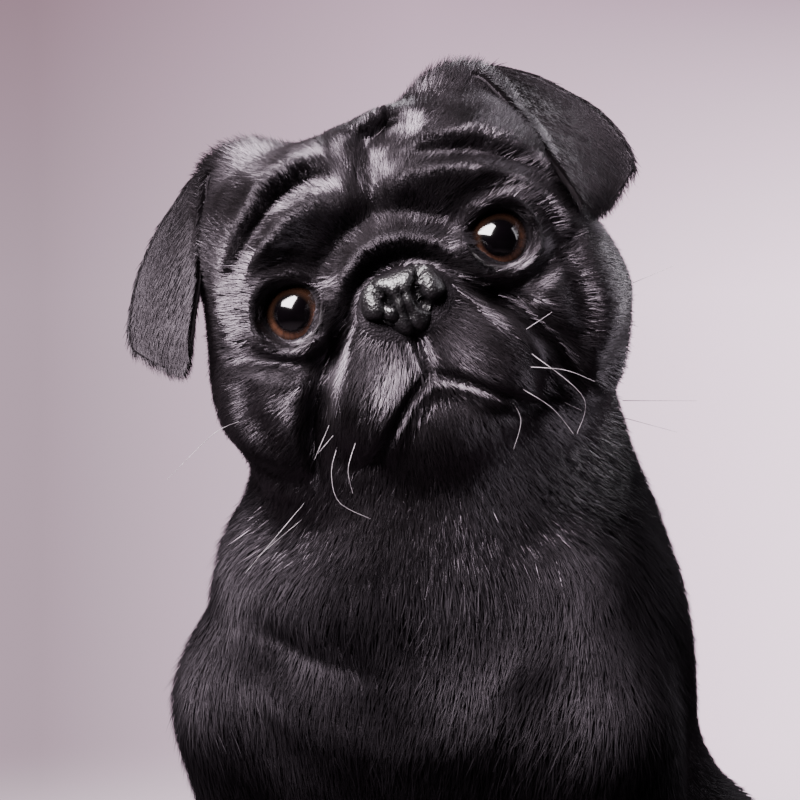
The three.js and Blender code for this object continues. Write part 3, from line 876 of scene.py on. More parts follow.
def object_from_arrays(name: str, points: Array, faces: Array, smooth: bool = True) -> bpy.types.Object:
    """Makes an object from points and faces of one size.

    Args:
        name: the object's name.
        points: an (n, 3) array in millimetres.
        faces: an (m, k) array of point numbers.
        smooth: whether its faces are shaded smooth.

    Returns:
        The new object, at the origin.
    """
    mesh = bpy.data.meshes.new(name)
    mesh.vertices.add(len(points))
    mesh.vertices.foreach_set("co", (points * MM).astype(np.float32).ravel())
    mesh.loops.add(faces.size)
    mesh.loops.foreach_set("vertex_index", faces.astype(np.int32).ravel())
    mesh.polygons.add(len(faces))
    mesh.polygons.foreach_set("loop_start", np.arange(0, faces.size, faces.shape[1], dtype=np.int32))
    mesh.update(calc_edges=True)
    mesh.validate()
    return object_of(name, mesh, smooth)


def baked(obj: bpy.types.Object) -> bpy.types.Object:
    """Applies an object's modifiers.

    Args:
        obj: the object.

    Returns:
        The same object with its finished mesh.
    """
    graph = bpy.context.evaluated_depsgraph_get()
    mesh = bpy.data.meshes.new_from_object(obj.evaluated_get(graph))
    obj.modifiers.clear()
    obj.data = mesh
    return obj


def points_of(obj: bpy.types.Object) -> Array:
    """A mesh's points.

    Args:
        obj: the object.

    Returns:
        An (n, 3) array in millimetres.
    """
    flat = np.empty(len(obj.data.vertices) * 3, np.float32)
    obj.data.vertices.foreach_get("co", flat)
    return flat.reshape(-1, 3).astype(float) / MM


def move_points(obj: bpy.types.Object, points: Array) -> None:
    """Gives a mesh new points.

    Args:
        obj: the object.
        points: an (n, 3) array in millimetres.
    """
    obj.data.vertices.foreach_set("co", (points * MM).astype(np.float32).ravel())
    obj.data.update()


def remeshed(obj: bpy.types.Object, cell: float) -> bpy.types.Object:
    """Fuses an object's overlapping forms into one even surface.

    Args:
        obj: the object.
        cell: the size of its new faces in millimetres.

    Returns:
        The same object.
    """
    modifier = obj.modifiers.new("fuse", "REMESH")
    modifier.mode = "VOXEL"
    modifier.voxel_size = cell * MM
    return baked(obj)


def refined(obj: bpy.types.Object, chosen: Callable[[Array], Array]) -> None:
    """Splits the faces of part of a mesh into four.

    Args:
        obj: the object.
        chosen: says for each point whether faces round it are split.
    """
    inside = chosen(points_of(obj))
    bm = bmesh.new()
    bm.from_mesh(obj.data)
    edges = [e for e in bm.edges if inside[e.verts[0].index] and inside[e.verts[1].index]]
    bmesh.ops.subdivide_edges(bm, edges=edges, cuts=1, use_grid_fill=True)
    bmesh.ops.triangulate(bm, faces=[f for f in bm.faces if len(f.verts) > 4])
    bm.to_mesh(obj.data)
    bm.free()
    shade(obj.data)


@dataclass(frozen=True)
class EarForm:
    """A folded ear: a bowed flap that leaves the head, turns over and hangs to its tip."""

    middle: tuple[Point, ...] = (
        (38, 30, 42), (47, 27, 53), (55, 23, 47), (63, 18, 35), (69, 13, 22), (72, 9, 9), (71, 6, -1),
    )
    across: tuple[Point, ...] = (
        (0.15, 0.98, 0.05), (0.22, 0.97, 0.1), (0.36, 0.92, 0.14), (0.5, 0.85, 0.12),
        (0.6, 0.78, 0.15), (0.62, 0.77, 0.12), (0.62, 0.77, 0.1),
    )
    half: tuple[float, ...] = (11, 14, 18, 20.5, 20.5, 19, 13)
    round_tip: float = 0.12
    thickness: float = 3.6
    bow: float = 5
    coat: float = 0.9
    rows: int = 60
    columns: int = 34

    def sheet(self, u: Array, v: Array, face: Array, lift: Array) -> tuple[Array, Array, Array]:
        """Places on the flap.

        Args:
            u: 0 at the root to 1 at the tip.
            v: -1 at the front edge to 1 at the back edge.
            face: 1 on the outer face, -1 on the inner.
            lift: millimetres above the skin.

        Returns:
            Points, outward normals and directions to the tip, in the head's frame of the left side.
        """
        middle = np.array(self.middle)
        u = u - self.round_tip * v * v * smooth_step(u, 0.55, 1)
        at = spline(middle, u)
        along = unit(spline(middle, np.minimum(u + 0.02, 1)) - spline(middle, np.maximum(u - 0.02, 0)))
        wide = unit(spline(np.array(self.across), u))
        half = spline(np.array(self.half)[:, None], u)[:, 0] - self.coat
        out = unit(np.cross(wide, along))
        thick = self.thickness / 2 * np.sqrt(1.04 - v * v) * np.clip((1.06 - u) * 6, 0.25, 1)
        rise = self.bow * (1 - v * v) - 2 + face * (np.maximum(thick - self.coat, 0.45) + lift)
        return at + wide * (half * v)[:, None] + out * rise[:, None], out * face[:, None], along

    def mesh(self, side: int) -> bpy.types.Object:
        """Draws one ear's skin as a closed flap.

        Args:
            side: 1 for the left, -1 for the right.

        Returns:
            The object.
        """
        bm = bmesh.new()
        bmesh.ops.create_grid(bm, x_segments=self.rows, y_segments=self.columns, size=1)
        grid = np.array([v.co for v in bm.verts])
        u, v = (grid[:, 0] + 1) / 2, grid[:, 1]
        faces = []
        for face in (1, -1):
            points, _, _ = self.sheet(u, v, np.full(len(u), face), np.zeros(len(u)))
            faces.append(HEAD.outside(points * (side, 1, 1)) * MM)
        put(bm.verts, faces[0])
        lower = bmesh.ops.duplicate(bm, geom=bm.verts[:] + bm.edges[:] + bm.faces[:])
        copies = [g for g in lower["geom"] if isinstance(g, bmesh.types.BMVert)]
        put(copies, faces[1])
        bmesh.ops.reverse_faces(bm, faces=[g for g in lower["geom"] if isinstance(g, bmesh.types.BMFace)])
        bmesh.ops.bridge_loops(bm, edges=[e for e in bm.edges if e.is_boundary])
        bmesh.ops.recalc_face_normals(bm, faces=bm.faces[:])
        return object_from(f"ear_flap_{side}", bm)


EARS = {
    "left": EarForm(),
    "right": EarForm(
        ((38, 30, 42), (47, 27, 53), (55, 23, 46), (63, 19, 36), (71, 14, 22), (77, 10, 9), (79, 7, -2.5))
    ),
}


@dataclass(frozen=True)
class Skin:
    """The dog's one closed skin, ears included."""

    rough_cell: float = 5
    cell: float = 2.6
    face_front: float = 34
    face_reach: float = 96
    eye_reach: float = 20

    def build(self) -> bpy.types.Object:
        """Fuses the forms and settles them on the dog's outline, less the coat.

        Returns:
            The skin.
        """
        bm = bmesh.new()
        PUG.add_to(bm)
        skin = remeshed(object_from("skin", bm), self.rough_cell)
        self.settle(skin, 4)
        skin = remeshed(skin, self.cell)
        self.settle(skin, 2)
        refined(skin, self.on_face)
        self.settle(skin, 2)
        refined(skin, self.at_eyes)
        self.settle(skin, 2)
        for name, side in SIDES.items():
            ear = EARS[name].mesh(side)
            union = skin.modifiers.new("ear", "BOOLEAN")
            union.operation = "UNION"
            union.solver = "MANIFOLD"
            union.object = ear
            baked(skin)
            bpy.data.objects.remove(ear)
        shade(skin.data)
        LOG.info("skin: %d points", len(skin.data.vertices))
        return skin

    def on_face(self, p: Array) -> Array:
        """Says which points of the dog's frame are on the face."""
        h = HEAD.inside(p)
        return (h[:, 1] < self.face_front) & (np.linalg.norm(h, axis=1) < self.face_reach)

    def at_eyes(self, p: Array) -> Array:
        """Says which points of the dog's frame are round an eye."""
        return np.linalg.norm(EYE.seen(HEAD.inside(p)), axis=1) < self.eye_reach

    @staticmethod
    def settle(skin: bpy.types.Object, rounds: int) -> None:
        """Moves the skin to the coat's depth under the outline and evens its points.

        Args:
            skin: the object.
            rounds: how many steps each pass takes.
        """
        move_points(skin, settle(PUG.distance, points_of(skin), lambda p: -coat_depth(p), rounds))
        bm = bmesh.new()
        bm.from_mesh(skin.data)
        bmesh.ops.smooth_vert(bm, verts=bm.verts[:], factor=0.5, **ALL_WAYS)
        bm.to_mesh(skin.data)
        bm.free()
        move_points(skin, settle(PUG.distance, points_of(skin), lambda p: -coat_depth(p), 1))


# Coat: slender tufts over the skin

def lie(p: Array, n: Array) -> Array:
    """Which way the hair lies.

    Args:
        p: an (n, 3) array of roots in the dog's frame.
        n: the skin's normals there.

    Returns:
        Unit directions along the skin.
    """
    h = HEAD.inside(p)
    from_nose = unit(h - (0, -16, -5))
    on_head = from_nose + np.outer(smooth_step(h[:, 1], 0, 60), (0, 0.8, -0.5))
    on_head = on_head @ HEAD.axes.T
    x, y, z = p.T
    front = smooth_step(-y, 0, 60)
    on_body = np.stack([np.zeros(len(p)), 0.75 * (1 - front) + 0.05, -0.8 - 0.3 * front], 1)
    on_body[:, 0] += -0.45 * np.sign(x) * np.minimum(np.abs(x) / 40, 1) * front * smooth_step(z, 120, 230)
    foot = smooth_step(-z, -34, -18)
    on_body = on_body * (1 - foot)[:, None] + np.outer(foot, (0, -1, -0.15))
    turned = p - np.asarray(TAIL_FORM.at)
    reach = np.hypot(turned[:, 1], turned[:, 2])
    curl = np.stack([np.zeros(len(p)), -turned[:, 2], turned[:, 1]], 1) / np.maximum(reach, 1)[:, None]
    on_tail = (1 - smooth_step(TAIL_FORM.distance(p), 0, 8)) * smooth_step(y, 118, 134)
    on_body = on_body * (1 - on_tail)[:, None] + curl * on_tail[:, None]
    away = smooth_step(from_middle(h), 76, 118)[:, None]
    flow = unit(on_head) * (1 - away) + unit(on_body) * away
    return unit(flow - n * (flow * n).sum(axis=1, keepdims=True))


@dataclass(frozen=True)
class TuftCut:
    """The size of the tufts of one part of the coat, in millimetres."""

    length: float
    width: float
    wander: float
    lift: float


class Region(Enum):
    """The parts of the coat, each with its own tufts."""

    FACE = TuftCut(5.4, 0.44, 0.15, 0.3)
    HEAD = TuftCut(7.2, 0.55, 0.15, 0.45)
    CHEST = TuftCut(12.5, 0.8, 0.17, 0.8)
    BODY = TuftCut(11.0, 0.85, 0.15, 0.6)
    LEGS = TuftCut(8.0, 0.7, 0.13, 0.45)
    EARS = TuftCut(6.0, 0.5, 0.16, 0.35)


REGION_NUMBER = {region: number for number, region in enumerate(Region)}


def region_of(p: Array) -> Array:
    """Which part of the coat each point belongs to.

    Args:
        p: an (n, 3) array in the dog's frame.

    Returns:
        The number of its Region, in the order they are listed.
    """
    h = HEAD.inside(p)
    number = np.where(p[:, 2] < 70, REGION_NUMBER[Region.LEGS], REGION_NUMBER[Region.BODY])
    number = np.where((p[:, 2] > 130) & (p[:, 1] < -20), REGION_NUMBER[Region.CHEST], number)
    reach = from_middle(h)
    number = np.where(reach < 92, REGION_NUMBER[Region.HEAD], number)
    return np.where((reach < 90) & (h[:, 1] < 14), REGION_NUMBER[Region.FACE], number)


@dataclass
class Tufts:
    """Roots, directions and sizes of many tufts, as rows of arrays."""

    SUNK = 0.3
    FLATNESS = 0.4
    MAP_REACH = 440
    MAP_PATCH = 0.003

    roots: Array
    normals: Array
    flows: Array
    length: Array
    width: Array
    lift: Array
    depth: Array

    def chosen(self, rows: Array) -> "Tufts":
        """Some of the tufts.

        Args:
            rows: which ones.

        Returns:
            Only those.
        """
        return Tufts(*(getattr(self, name)[rows] for name in self.__dataclass_fields__))

    def mesh(self, name: str, outline: bool) -> bpy.types.Object:
        """Draws the tufts as slim three-sided spikes that lie along the skin.

        Args:
            name: the object's name.
            outline: whether their tips are held at the dog's outline.

        Returns:
            The object, with the map OFBake.
        """
        n = len(self.roots)
        side = np.cross(self.flows, self.normals)
        base = self.roots - self.normals * self.SUNK
        tip = self.roots + self.flows * self.length[:, None]
        if outline:
            tip = settle(PUG.distance, tip, lambda p: self.depth * -0.25 + self.lift, 1)
        else:
            tip = tip + self.normals * (self.depth * 0.7 + self.lift)[:, None]
        points = np.empty((n, 4, 3))
        for k in range(3):
            angle = 2 * math.pi * k / 3 + math.pi / 2
            across, up = math.cos(angle), math.sin(angle) * self.FLATNESS
            aside = side * (across * self.width / 2)[:, None]
            points[:, k] = base + aside + self.normals * (up * self.width / 2)[:, None]
        points[:, 3] = tip
        pattern = np.array([(0, 1, 3), (1, 2, 3), (2, 0, 3), (0, 2, 1)])
        faces = (np.arange(n)[:, None, None] * 4 + pattern).reshape(-1, 3)
        obj = object_from_arrays(name, points.reshape(-1, 3), faces, smooth=False)
        self.unwrap(obj, faces)
        LOG.info("%s: %d tufts", name, n)
        return obj

    def unwrap(self, obj: bpy.types.Object, faces: Array) -> None:
        """Gives each tuft its small patch on an unwrap of the skin seen along its six directions.

        Args:
            obj: the tufts' object.
            faces: its faces.
        """
        axis = np.abs(self.normals).argmax(axis=1)
        rows = np.arange(len(axis))
        sign = (self.normals[rows, axis] > 0).astype(int)
        chart = axis * 2 + sign
        across = np.array([1, 0, 0])[axis]
        up = np.array([2, 2, 1])[axis]
        u = (self.roots[rows, across] / self.MAP_REACH + 0.5) * 0.31 + (chart % 3) / 3 + 0.01
        v = (self.roots[rows, up] / self.MAP_REACH + 0.25) * 0.46 + (chart // 3) / 2 + 0.01
        corners = np.array([(0.5, 0.3), (0, 0), (1, 0), (0.5, 1)]) * self.MAP_PATCH
        uv = np.stack([u, v], 1)[:, None] + corners[None]
        layer = obj.data.uv_layers.new(name="OFBake")
        layer.data.foreach_set("uv", uv.reshape(-1, 2)[faces.ravel()].astype(np.float32).ravel())


@dataclass(frozen=True)
class Coat:
    """All the dog's hair, as pieces of under 200,000 triangles. Density is tufts to the square millimetre."""

    per_piece: int = 49000
    density: tuple[float, ...] = (2.7, 1.5, 0.95, 0.6, 0.85)
    ear_count: int = 12500
    mingle: float = 6
    reach_before_painted_shade: float = 80
    ear_tops: Point = (37, 27, 54)
    shag_reach: float = 13
    shag_length: float = 0.9
    shag_lift: float = 5
    quick_share: float = 0.5
    stray: float = 2.5
    bald_depth: float = 0.32
    seed: int = 7

    def build(self, skin: bpy.types.Object) -> list[bpy.types.Object]:
        """Grows the tufts on the skin.

        Args:
            skin: the dog's skin.

        Returns:
            The coat's pieces.
        """
        rng = np.random.default_rng(self.seed)
        body = self.on_skin(skin, rng)
        pieces = []
        # Tufts beyond this reach, mingled so the edge is soft, go to body pieces whose finish carries painted
        # shade
        mingled = HEAD.inside(body.roots + rng.normal(0, self.mingle, body.roots.shape))
        near = from_middle(mingled) < self.reach_before_painted_shade
        for name, part in (("head", np.flatnonzero(near)), ("body", np.flatnonzero(~near))):
            part = part[np.argsort(body.roots[part, 2], kind="stable")]
            for i, rows in enumerate(np.array_split(part, math.ceil(len(part) / self.per_piece))):
                pieces.append(body.chosen(rows).mesh(f"coat_{name}_{i + 1}", outline=True))
        ears = [self.on_ear(EARS[name], side, rng) for name, side in SIDES.items()]
        whole = Tufts(*(np.concatenate([getattr(e, k) for e in ears]) for k in Tufts.__dataclass_fields__))
        pieces.append(whole.mesh("coat_ears", outline=False))
        return pieces

    def on_skin(self, skin: bpy.types.Object, rng: np.random.Generator) -> Tufts:
        """Spreads roots over the skin.

        Args:
            skin: the dog's skin.
            rng: the source of chance.

        Returns:
            The tufts.
        """
        mesh = skin.data
        mesh.calc_loop_triangles()
        corners = np.empty(len(mesh.loop_triangles) * 3, np.int32)
        mesh.loop_triangles.foreach_get("vertices", corners)
        triangles = points_of(skin)[corners.reshape(-1, 3)]
        edge_a, edge_b = triangles[:, 1] - triangles[:, 0], triangles[:, 2] - triangles[:, 0]
        cross = np.cross(edge_a, edge_b)
        area = np.linalg.norm(cross, axis=1) / 2
        density = np.array(self.density)[region_of(triangles.mean(axis=1))]
        count = rng.poisson(area * density)
        face = np.repeat(np.arange(len(area)), count)
        a, b = rng.random((2, len(face)))
        a, b = np.where(a + b > 1, 1 - a, a), np.where(a + b > 1, 1 - b, b)
        p = triangles[face, 0] + edge_a[face] * a[:, None] + edge_b[face] * b[:, None]
        depth = coat_depth(p)
        kept = (np.abs(PUG.distance(p) + depth) < self.stray) & (depth > self.bald_depth)
        p, depth = p[kept], depth[kept]
        _, gradient = slope(PUG.distance, p)
        tufts = self.grown(p, unit(gradient), lie(p, unit(gradient)), depth, region_of(p), rng)
        shaggy = bump(np.linalg.norm(folded(HEAD.inside(p)) - self.ear_tops, axis=1) / self.shag_reach)
        tufts.length = tufts.length * (1 + self.shag_length * shaggy)
        tufts.lift = tufts.lift + self.shag_lift * shaggy * rng.random(len(p))
        return tufts

    def on_ear(self, ear: EarForm, side: int, rng: np.random.Generator) -> Tufts:
        """Spreads roots over one ear, both faces and the rim.

        Args:
            ear: the ear's form.
            side: 1 for the left, -1 for the right.
            rng: the source of chance.

        Returns:
            The tufts.
        """
        n = self.ear_count
        u = 0.1 + 0.9 * rng.random(n) ** 0.9
        v = np.clip(rng.uniform(-1.12, 1.12, n), -1, 1)
        face = np.where(rng.random(n) < 0.68, 1, -1)
        p, normal, along = ear.sheet(u, v, face, np.zeros(n))
        rim = smooth_step(np.abs(v), 0.9, 1)[:, None]
        edgeways = np.cross(along, normal) * (np.sign(v) * face)[:, None] * rim * -1
        normal = unit(normal * (1 - 0.7 * rim) + edgeways)
        mirror = np.array((side, 1, 1))
        p = HEAD.outside(p * mirror)
        normal, along = ((way * mirror) @ HEAD.axes.T for way in (normal, along))
        depth = np.full(n, ear.coat)
        flow = unit(along - normal * (along * normal).sum(axis=1, keepdims=True))
        return self.grown(p, normal, flow, depth, np.full(n, REGION_NUMBER[Region.EARS]), rng)

    @staticmethod
    def grown(
        p: Array, normal: Array, flow: Array, depth: Array, number: Array, rng: np.random.Generator
    ) -> Tufts:
        """Gives each root its tuft's size and a little disorder.

        Args:
            p: roots.
            normal: the skin's normals there.
            flow: the lie of the hair there.
            depth: the coat's depth there.
            number: the region's number there.
            rng: the source of chance.

        Returns:
            The tufts.
        """
        length, width, wander, lift = np.array([astuple(region.value) for region in Region])[number].T
        n = len(p)
        turned = rng.normal(0, 1, n) * wander
        flow = unit(flow * np.cos(turned)[:, None] + np.cross(normal, flow) * np.sin(turned)[:, None])
        short = 0.45 + 0.55 * np.clip(depth / 1.4, 0, 1)
        size = rng.uniform(0.75, 1.2, n)
        lift = lift * rng.normal(0, 1, n) ** 2 * 0.5 * short
        width = width * rng.uniform(0.8, 1.2, n) * (0.6 + 0.4 * short)
        return Tufts(p, normal, flow, length * size * short, width, np.minimum(lift, 3), depth)


# Eyes, lids, nose pad, claws and whiskers

ROW_SHIFT = (-0.006, -34.257, 0)
FLESH = ["head", "neck", "torso", "rump", "tail"] + [
    f"{part}_{side}"
    for part in ("ear", "foreleg_upper", "foreleg_lower", "fore_paw", "thigh", "hind_foot")
    for side in SIDES
]


def finished(
    obj: bpy.types.Object, finish: "Finish", nodes: Sequence[str] = ()
) -> bpy.types.Object:
    """Moves a piece to its place in the row frame, dresses it and enters it in the table.

    Args:
        obj: the piece, drawn in the dog's frame.
        finish: what it is made of.
        nodes: the solids whose place it takes.

    Returns:
        The same piece.
    """
    move_points(obj, points_of(obj) + ROW_SHIFT)
    obj.data.materials.clear()
    obj.data.materials.append(finish.material())
    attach(obj, "root")
    if nodes:
        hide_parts(*nodes)
    LOG.info("%s: %d faces", obj.name, len(obj.data.polygons))
    return obj


def tube(line: Array, radii: Array, sides: int, closed: bool = False) -> tuple[Array, Array]:
    """A round skin along a line.

    Args:
        line: an (n, 3) array.
        radii: one radius for each point.
        sides: corners round it.
        closed: whether the line is a loop.

    Returns:
        Its points and its four-sided faces.
    """
    ahead = np.roll(line, -1, 0) - np.roll(line, 1, 0)
    if not closed:
        ahead[0], ahead[-1] = line[1] - line[0], line[-1] - line[-2]
    ahead = unit(ahead)
    side = unit(np.cross(ahead, (0.13, 0.98, 0.17)))
    up = np.cross(side, ahead)
    angle = np.linspace(0, 2 * math.pi, sides, endpoint=False)
    ring = np.cos(angle)[None, :, None] * side[:, None] + np.sin(angle)[None, :, None] * up[:, None]
    points = line[:, None] + ring * radii[:, None, None]
    rows, columns = len(line), sides
    i = np.arange(rows if closed else rows - 1)[:, None]
    j = np.arange(columns)[None, :]
    corners = [((i + a) % rows) * columns + (j + b) % columns for a, b in ((0, 0), (1, 0), (1, 1), (0, 1))]
    return points.reshape(-1, 3), np.stack(corners, -1).reshape(-1, 4)


def joined(parts: Sequence[tuple[Array, Array]]) -> tuple[Array, Array]:
    """Several meshes as one.

    Args:
        parts: the points and faces of each.

    Returns:
        The points and faces of all.
    """
    starts = np.cumsum([0] + [len(points) for points, _ in parts[:-1]])
    return (
        np.concatenate([points for points, _ in parts]),
        np.concatenate([faces + start for (_, faces), start in zip(parts, starts)]),
    )


@dataclass(frozen=True)
class Eyes:
    """Two wet eyeballs with a clear bulge over the iris, their lid rims and inner corners."""

    iris: float = 8.8
    bulge: float = 0.7
    rim: float = 0.95
    rim_steps: int = 72
    corner: Point = (1.7, 1.5, 2.3)
    corner_at: Point = (-9.3, -6.9, -2.2)
    corner_turn: float = 20

    def build(self) -> None:
        """Makes the balls, the rims and the corners on both sides."""
        for name, side in SIDES.items():
            self.ball(name, side)
        finished(self.rims(), RIM_FINISH)
        finished(self.corners(), CORNER_FINISH)

    def ball(self, name: str, side: int) -> None:
        """Makes one eyeball, with the way from its middle kept for the iris.

        Args:
            name: "left" or "right".
            side: 1 for the left, -1 for the right.
        """
        bm = bmesh.new()
        poles_ahead = Matrix.Rotation(math.pi / 2, 4, "X")
        bmesh.ops.create_uvsphere(bm, u_segments=64, v_segments=48, radius=1, matrix=poles_ahead)
        local = unit(np.array([v.co for v in bm.verts]))
        away = np.hypot(local[:, 0], local[:, 2]) * EYE.radius
        front = local[:, 1] < 0
        reach = EYE.radius + self.bulge * (1 - smooth_step(away, 0, self.iris + 1)) * front
        put(bm.verts, HEAD.outside(self.in_head(local * reach[:, None]) * (side, 1, 1)) * MM)
        bmesh.ops.recalc_face_normals(bm, faces=bm.faces[:])
        obj = object_from(f"eyeball_{name}", bm)
        kept = obj.data.attributes.new("gaze", "FLOAT_VECTOR", "POINT")
        kept.data.foreach_set("vector", (local * EYE.radius).astype(np.float32).ravel())
        finished(obj, EYE_FINISH, [f"eye_{name}"])

    @staticmethod
    def in_head(p: Array) -> Array:
        """Points seen from the left eye in the head's frame.

        Args:
            p: an (n, 3) array.

        Returns:
            The (n, 3) array in the head's frame.
        """
        return p @ turn("z", EYE.out).T + np.asarray(EYE.at)

    def rims(self) -> bpy.types.Object:
        """Makes the bare wet edges of the lids.

        Returns:
            The object.
        """
        t = np.linspace(0, 2 * math.pi, self.rim_steps, endpoint=False)
        x = (EYE.opening[0] + 0.25) * np.cos(t)
        z = (EYE.opening[1] + 0.25) * np.sin(t) - EYE.drop
        y = -np.sqrt((EYE.radius + 0.5) ** 2 - x * x - z * z)
        line = self.in_head(np.stack([x, y, z], 1))
        radii = self.rim * (0.85 + 0.25 * np.clip(-np.sin(t), 0, 1))
        loops = []
        for side in SIDES.values():
            points, faces = tube(HEAD.outside(line * (side, 1, 1)), radii, 10, closed=True)
            loops.append((points, faces[:, :: -side]))
        return object_from_arrays("lid_rims", *joined(loops))

    def corners(self) -> bpy.types.Object:
        """Makes the small pink flesh in the inner corners.

        Returns:
            The object.
        """
        bm = bmesh.new()
        at = self.in_head(np.array([self.corner_at]))[0]
        for side in SIDES.values():
            ball(bm, HEAD, at, turn("y", self.corner_turn) @ np.diag(self.corner), side, detail=12)
        bmesh.ops.recalc_face_normals(bm, faces=bm.faces[:])
        return object_from("eye_corners", bm)


@dataclass(frozen=True)
class NosePad:
    """The pebbled nose pad with its two nostrils."""

    at: Point = (0, -22, -9.5)
    reach: float = 9
    stretch: Point = (1.5, 1, 1)
    detail: int = 6
    under: float = 0.1
    rounds: int = 14

    def build(self) -> None:
        """Settles a ball on the pad's outline."""
        bm = bmesh.new()
        bmesh.ops.create_icosphere(bm, subdivisions=self.detail, radius=self.reach)
        start = np.array([v.co for v in bm.verts]) * self.stretch + self.at
        pad = settle(NOSE_FORM.distance, start, lambda p: np.full(len(p), -self.under), self.rounds)
        put(bm.verts, HEAD.outside(pad) * MM)
        bmesh.ops.smooth_vert(bm, verts=bm.verts[:], factor=0.3, **ALL_WAYS)
        bmesh.ops.recalc_face_normals(bm, faces=bm.faces[:])
        finished(object_from("nose_leather", bm), NOSE_FINISH, ["nose_pad"])


@dataclass(frozen=True)
class Claws:
    """Sixteen blunt curved claws."""

    length: float = 11
    radius: float = 2.5
    tip: float = 0.6
    sunk: float = 3
    rise: float = 2.4
    droop: float = 6.4

    def build(self) -> None:
        """Makes the claws of all four feet as one piece."""
        t = np.linspace(-0.15, 1, 12)
        radii = (self.radius + (self.tip - self.radius) * t) * np.sqrt(np.clip((1.03 - t) * 6, 0, 1))
        parts, nodes = [], []
        for foot, paw in (("fore", FORE_PAW), ("hind", HIND_PAW)):
            for name, side in SIDES.items():
                for i in range(4):
                    x, y, z = paw.toe(i)
                    ahead = y - self.sunk - self.length * t
                    line = np.stack([np.full(len(t), x), ahead, z + self.rise - self.droop * t * t], 1)
                    parts.append(tube(line * (side, 1, 1), radii, 14))
                    nodes.append(f"claw_{foot}_{name}_{i + 1}")
        finished(object_from_arrays("claws", *joined(parts)), CLAW_FINISH, nodes)


@dataclass(frozen=True)
class Whiskers:
    """Single long hairs of the muzzle and cheeks, drawn in the head's x and z."""

    lines: tuple[tuple[tuple[float, float], ...], ...] = (
        ((31.7, -37.7), (42.1, -55.8), (36.3, -66)),
        ((30, -41.5), (39.8, -46.1), (47.1, -52.5)),
        ((25.4, -47.3), (31.9, -55.8), (35.4, -65.6)),
        ((33.9, -53.1), (40.9, -60.1)),
        ((20.7, -49), (21.5, -56.1), (16.3, -63.8)),
        ((32.8, -29.9), (42.2, -27.6)),
        ((-36.2, -44.5), (-40.5, -51.5), (-41.3, -61), (-33.7, -69.3)),
        ((-29.7, -45.2), (-34.6, -52.2), (-35.7, -59.7)),
        ((-35.9, -37.1), (-43.9, -45.8)),
        ((-35.8, -40.6), (-42.3, -44.3)),
        ((-50.5, -56.3), (-78.6, -72.6)),
        ((-48.3, -59.8), (-73.9, -69.2)),
        ((-63.2, -26.1), (-72.2, -27.2), (-90.7, -35.8)),
        ((54.9, -61.9), (77.4, -70.1)),
        ((53, -67), (67.9, -77.5)),
        ((70, -27.2), (84.9, -26.5)),
    )
    radius: float = 0.14
    tip: float = 0.04
    sunk: float = 0.6
    forward: float = 0.28
    bend: float = 0.004

    def build(self) -> None:
        """Roots each hair on the head and draws it as a fine taper."""
        parts = []
        for points in self.lines:
            x, z = np.array(points).T
            root = self.root(x[0], z[0])
            reach = np.hypot(x - x[0], z - z[0])
            y = root + self.sunk - self.forward * reach + self.bend * reach**2
            t = np.linspace(0, 1, 14)
            line = spline(np.stack([x, y, z], 1), t)
            parts.append(tube(HEAD.outside(line), self.radius + (self.tip - self.radius) * t, 5))
        finished(object_from_arrays("whiskers", *joined(parts)), WHISKER_FINISH)

    @staticmethod
    def root(x: float, z: float) -> float:
        """Where the head's front lies.

        Args:
            x: across in the head's frame.
            z: height in the head's frame.

        Returns:
            The y of the skin there, or of the cheek's edge beside it.
        """
        y = np.arange(-50, 70, 0.5)
        line = np.stack([np.full(len(y), x), y, np.full(len(y), z)], 1)
        d = HEAD_FORM.distance(line)
        return float(y[np.argmax(d < 0)] if (d < 0).any() else y[np.argmin(d)])


# Finishes

def linear(colour: str) -> tuple[float, float, float, float]:
    """A colour as light.

    Args:
        colour: sRGB as #rrggbb.

    Returns:
        Linear red, green, blue and one.
    """
    parts = (int(colour[i : i + 2], 16) / 255 for i in (1, 3, 5))
    r, g, b = (c / 12.92 if c <= 0.04045 else ((c + 0.055) / 1.055) ** 2.4 for c in parts)
    return (r, g, b, 1)


def per_metre(size: float) -> float:
    """How many times a pattern of one size in millimetres repeats in a metre."""
    return 1 / (size * MM)


def add_node(
    tree: bpy.types.NodeTree,
    kind: str,
    inputs: dict[str | int, object] | None = None,
    stops: Sequence[tuple[float, str]] = (),
    **settings: object,
) -> bpy.types.Node:
    """Adds a shader node.

    Args:
        tree: the tree that takes it.
        kind: the node's type.
        inputs: for each socket's name or number, the socket that feeds it or its value.
        stops: the places and colours of a colour ramp.
        settings: the node's own settings.

    Returns:
        The node.
    """
    made = tree.nodes.new(kind)
    for name, value in settings.items():
        setattr(made, name, value)
    for name, value in (inputs or {}).items():
        if isinstance(value, bpy.types.NodeSocket):
            tree.links.new(value, made.inputs[name])
        else:
            made.inputs[name].default_value = value
    if stops:
        elements = made.color_ramp.elements
        while len(elements) < len(stops):
            elements.new(1)
        for element, (place, colour) in zip(elements, stops):
            element.position, element.color = place, linear(colour)
    return made


def empty_material(name: str) -> bpy.types.Material:
    """Makes a material whose node tree has nothing in it yet.

    Args:
        name: the material's name.

    Returns:
        The material.
    """
    made = bpy.data.materials.new(name)
    made.use_nodes = True
    made.node_tree.nodes.clear()
    return made


